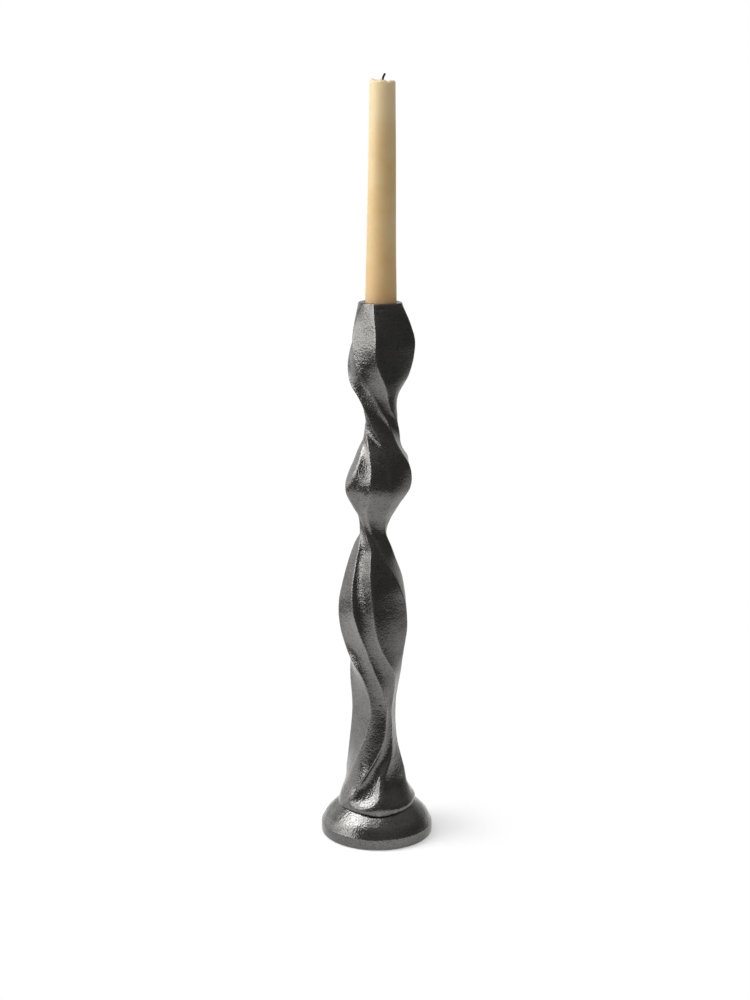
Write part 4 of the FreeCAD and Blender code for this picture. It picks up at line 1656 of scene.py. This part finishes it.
@dataclass
class Studio:
    """White sweep, soft lamps and the camera."""

    eye: tuple[float, float, float] = (-0.00307, -1.240, 0.534)
    pitch: float = 12.84
    roll: float = -0.43
    lens: float = 64.08
    sensor: float = 36.0
    clip: tuple[float, float] = (0.05, 30.0)
    floor_corners: int = 180
    floor_radius: float = 0.455
    floor_tongue_power: int = 6
    floor_white: str = "#F7F7F7"
    floor_glow: float = 0.36
    floor_blend: tuple[float, float] = (0.045, 0.11)
    # Painted light in the floor's glow as reflections and bounced light see it: a pool left of the foot,
    # brighter on the lit left side, fading to the edge.
    painted_pool_centre: tuple[float, float, float] = (-0.10, 0.16, 0.0)
    painted_pool_even: float = 0.30
    painted_pool_fade_to: float = 0.76
    painted_pool_edge: float = 0.35
    side_reach: float = 0.3
    painted_lit_side: float = 1.45
    painted_far_side: float = 0.92
    sky: float = 0.38
    room_low: float = 0.15
    room_high: float = 0.34
    room_rise: tuple[float, float] = (0.2, 0.8)
    backdrop: float = 0.62
    backdrop_top: tuple[float, float] = (0.24, 0.42)
    backdrop_side: tuple[float, float] = (0.45, 0.75)
    white: str = "#FFFFFF"

    # Where the floor's outline runs further out: bearing and half width in degrees, and reach in metres.
    floor_tongues: tuple[tuple[float, float, float], ...] = (
        (-45.0, 24.0, 0.85), (-106.0, 18.0, 0.64), (8.0, 30.0, 0.80), (120.0, 34.0, 0.78),
    )

    lamps: tuple[Lamp, ...] = (
        Lamp("key_softbox", -80, 19, 1.4, 1.24, 0.76, 2.5),
        Lamp("key_card", -80, 19, 1.41, 1.24, 0.76, 0.6, Shows.GLOSS),
        Lamp("upper_softbox", -80, 50, 1.38, 0.88, 0.86, 3.6),
        Lamp("upper_card", -80, 50, 1.39, 0.88, 0.86, 3.6, Shows.GLOSS),
        Lamp("top_softbox", -12, 74, 1.6, 0.50, 0.40, 2.4),
        Lamp("low_card", -102, -4.5, 1.45, 1.4, 0.46, 1.3, Shows.GLOSS),
        Lamp("front_card", -55, 5.0, 1.42, 0.52, 0.28, 2.9, Shows.GLOSS),
        Lamp("shoulder_card", -32, 66, 1.5, 0.34, 0.30, 3.4, Shows.GLOSS),
        Lamp("back_card", -132, 14, 1.45, 0.76, 0.90, 0.9, Shows.GLOSS),
    )

    def camera(self) -> None:
        """Make the camera."""
        data = bpy.data.cameras.new("camera")
        data.lens = self.lens
        data.sensor_width = self.sensor
        data.clip_start, data.clip_end = self.clip
        camera = bpy.data.objects.new("camera", data)
        bpy.context.scene.collection.objects.link(camera)
        tilt = math.radians(90 - self.pitch)
        turn = Matrix.Rotation(tilt, 4, "X") @ Matrix.Rotation(math.radians(-self.roll), 4, "Z")
        camera.matrix_world = Matrix.Translation(Vector(self.eye)) @ turn
        bpy.context.scene.camera = camera

    def floor(self) -> None:
        """Lay the floor, in a white that takes the shadow near the foot and blends into the sweep."""
        points = [(0.0, 0.0, 0.0)]
        for i in range(self.floor_corners):
            bearing = 360 * i / self.floor_corners - 180
            reach = self.floor_radius
            for centre, spread, far in self.floor_tongues:
                swell = math.exp(-(((bearing - centre) / spread) ** self.floor_tongue_power))
                reach += (far - self.floor_radius) * swell
            angle = math.radians(bearing)
            points.append((reach * math.sin(angle), -reach * math.cos(angle), 0.0))
        faces = [(0, i + 1, (i + 1) % self.floor_corners + 1) for i in range(self.floor_corners)]
        mesh = bpy.data.meshes.new("floor")
        mesh.from_pydata(points, [], faces)
        floor = add_piece("floor", mesh)
        mesh.materials.append(self.floor_material())

    def floor_material(self) -> bpy.types.Material:
        """The floor's white paper, which looks plain white to the camera a little way from the foot.

        Returns:
            The material.
        """
        material = bpy.data.materials.new("white_paper_sweep")
        material.use_nodes = True
        tree = material.node_tree
        tree.nodes.clear()
        place = add_node(tree, "ShaderNodeTexCoord").outputs["Object"]
        out = add_node(tree, "ShaderNodeVectorMath", {"operation": "LENGTH"}, {0: place}).outputs["Value"]
        far = add_node(
            tree,
            "ShaderNodeMapRange",
            {"interpolation_type": "SMOOTHSTEP"},
            {"Value": out, "From Min": self.floor_blend[0], "From Max": self.floor_blend[1]},
        )
        lit = add_node(tree, "ShaderNodeBsdfDiffuse", inputs={"Color": linear(self.floor_white)})
        lift = add_node(
            tree, "ShaderNodeEmission", inputs={"Color": linear(self.white), "Strength": self.floor_glow}
        )
        near = add_node(
            tree, "ShaderNodeAddShader", inputs={0: lit.outputs["BSDF"], 1: lift.outputs["Emission"]}
        )
        # Painted light: away from the camera the floor glows brightest in a pool left of the foot and on the
        # lit left side, dimming towards its edge.
        pool = add_node(
            tree, "ShaderNodeVectorMath", {"operation": "DISTANCE"}, {0: place, 1: self.painted_pool_centre}
        )
        painted_pool_falloff = add_node(
            tree,
            "ShaderNodeMapRange",
            inputs={
                "Value": pool.outputs["Value"],
                "From Min": self.painted_pool_even,
                "From Max": self.painted_pool_fade_to,
                "To Min": 1.0,
                "To Max": self.painted_pool_edge,
            },
        )
        across = add_node(tree, "ShaderNodeSeparateXYZ", inputs={"Vector": place}).outputs["X"]
        side = add_node(
            tree,
            "ShaderNodeMapRange",
            inputs={
                "Value": across,
                "From Min": -self.side_reach,
                "From Max": self.side_reach,
                "To Min": self.painted_lit_side,
                "To Max": self.painted_far_side,
            },
        )
        painted_floor_light = add_node(
            tree,
            "ShaderNodeMath",
            {"operation": "MULTIPLY"},
            {0: painted_pool_falloff.outputs["Result"], 1: side.outputs["Result"]},
        )
        path = add_node(tree, "ShaderNodeLightPath")
        shown = add_node(
            tree,
            "ShaderNodeMix",
            {"data_type": "FLOAT"},
            {"Factor": path.outputs["Is Camera Ray"], NUMBER_A: painted_floor_light.outputs[0], NUMBER_B: 1.0},
        )
        glow = add_node(
            tree,
            "ShaderNodeEmission",
            inputs={"Color": linear(self.white), "Strength": shown.outputs[NUMBER_OUT]},
        )
        both = add_node(
            tree,
            "ShaderNodeMixShader",
            inputs={0: far.outputs["Result"], 1: near.outputs[0], 2: glow.outputs["Emission"]},
        )
        add_node(tree, "ShaderNodeOutputMaterial", inputs={"Surface": both.outputs[0]})
        return material

    def world(self) -> None:
        """Set the room: white where the camera sees it, a white sweep low down in the metal, dim above."""
        world = bpy.data.worlds.new("studio")
        bpy.context.scene.world = world
        world.use_nodes = True
        tree = world.node_tree
        tree.nodes.clear()
        way = add_node(tree, "ShaderNodeTexCoord").outputs["Generated"]
        axes = add_node(tree, "ShaderNodeSeparateXYZ", inputs={"Vector": way}).outputs
        low, behind, room = (
            add_node(
                tree,
                "ShaderNodeMapRange",
                {"interpolation_type": "SMOOTHSTEP"},
                {
                    "Value": axes[axis],
                    "From Min": span[0],
                    "From Max": span[1],
                    "To Min": start,
                    "To Max": end,
                },
            ).outputs["Result"]
            for axis, span, start, end in (
                ("Z", self.backdrop_top, 1.0, 0.0),
                ("Y", self.backdrop_side, 0.0, 1.0),
                ("Z", self.room_rise, self.room_low, self.room_high),
            )
        )
        backdrop = add_node(tree, "ShaderNodeMath", {"operation": "MULTIPLY"}, {0: low, 1: behind})
        sweep = add_node(
            tree,
            "ShaderNodeMapRange",
            inputs={"Value": backdrop.outputs[0], "To Min": room, "To Max": self.backdrop},
        )
        path = add_node(tree, "ShaderNodeLightPath")
        seen = add_node(
            tree,
            "ShaderNodeMath",
            {"operation": "MAXIMUM"},
            {0: path.outputs["Is Camera Ray"], 1: path.outputs["Is Transmission Ray"]},
        )
        mirrored = add_node(
            tree,
            "ShaderNodeMix",
            {"data_type": "FLOAT"},
            {"Factor": path.outputs["Is Glossy Ray"], NUMBER_A: self.sky, NUMBER_B: sweep.outputs["Result"]},
        )
        strength = add_node(
            tree,
            "ShaderNodeMix",
            {"data_type": "FLOAT"},
            {"Factor": seen.outputs[0], NUMBER_A: mirrored.outputs[NUMBER_OUT], NUMBER_B: 1.0},
        )
        light = add_node(
            tree,
            "ShaderNodeBackground",
            inputs={"Color": linear(self.white), "Strength": strength.outputs[NUMBER_OUT]},
        )
        add_node(tree, "ShaderNodeOutputWorld", inputs={"Surface": light.outputs["Background"]})

    def build(self) -> None:
        """Build the whole studio."""
        bpy.context.scene.view_settings.view_transform = "Standard"
        self.camera()
        self.floor()
        self.world()
        target = Vector((0, 0, self.eye[2] / 2))
        for lamp in self.lamps:
            lamp.build(target)


def report(piece: bpy.types.Object) -> None:
    """Log a piece's name and how many faces it has."""
    log.info("%s: %d faces", piece.name, len(piece.data.polygons))


def main() -> None:
    """Build every piece in order, then the studio."""
    logging.basicConfig(level=logging.INFO, format="%(name)s %(message)s")
    foot = DomedFoot()
    makers: list[Callable[[], Any]] = [
        foot.build, TwistedStem(foot).build, TaperCandle().build, CottonWick().build, Underside().build,
    ]
    for make in makers:
        made = make()
        for piece in made if isinstance(made, list) else [made]:
            report(piece)
    Studio().build()


if __name__ == "__main__":
    main()
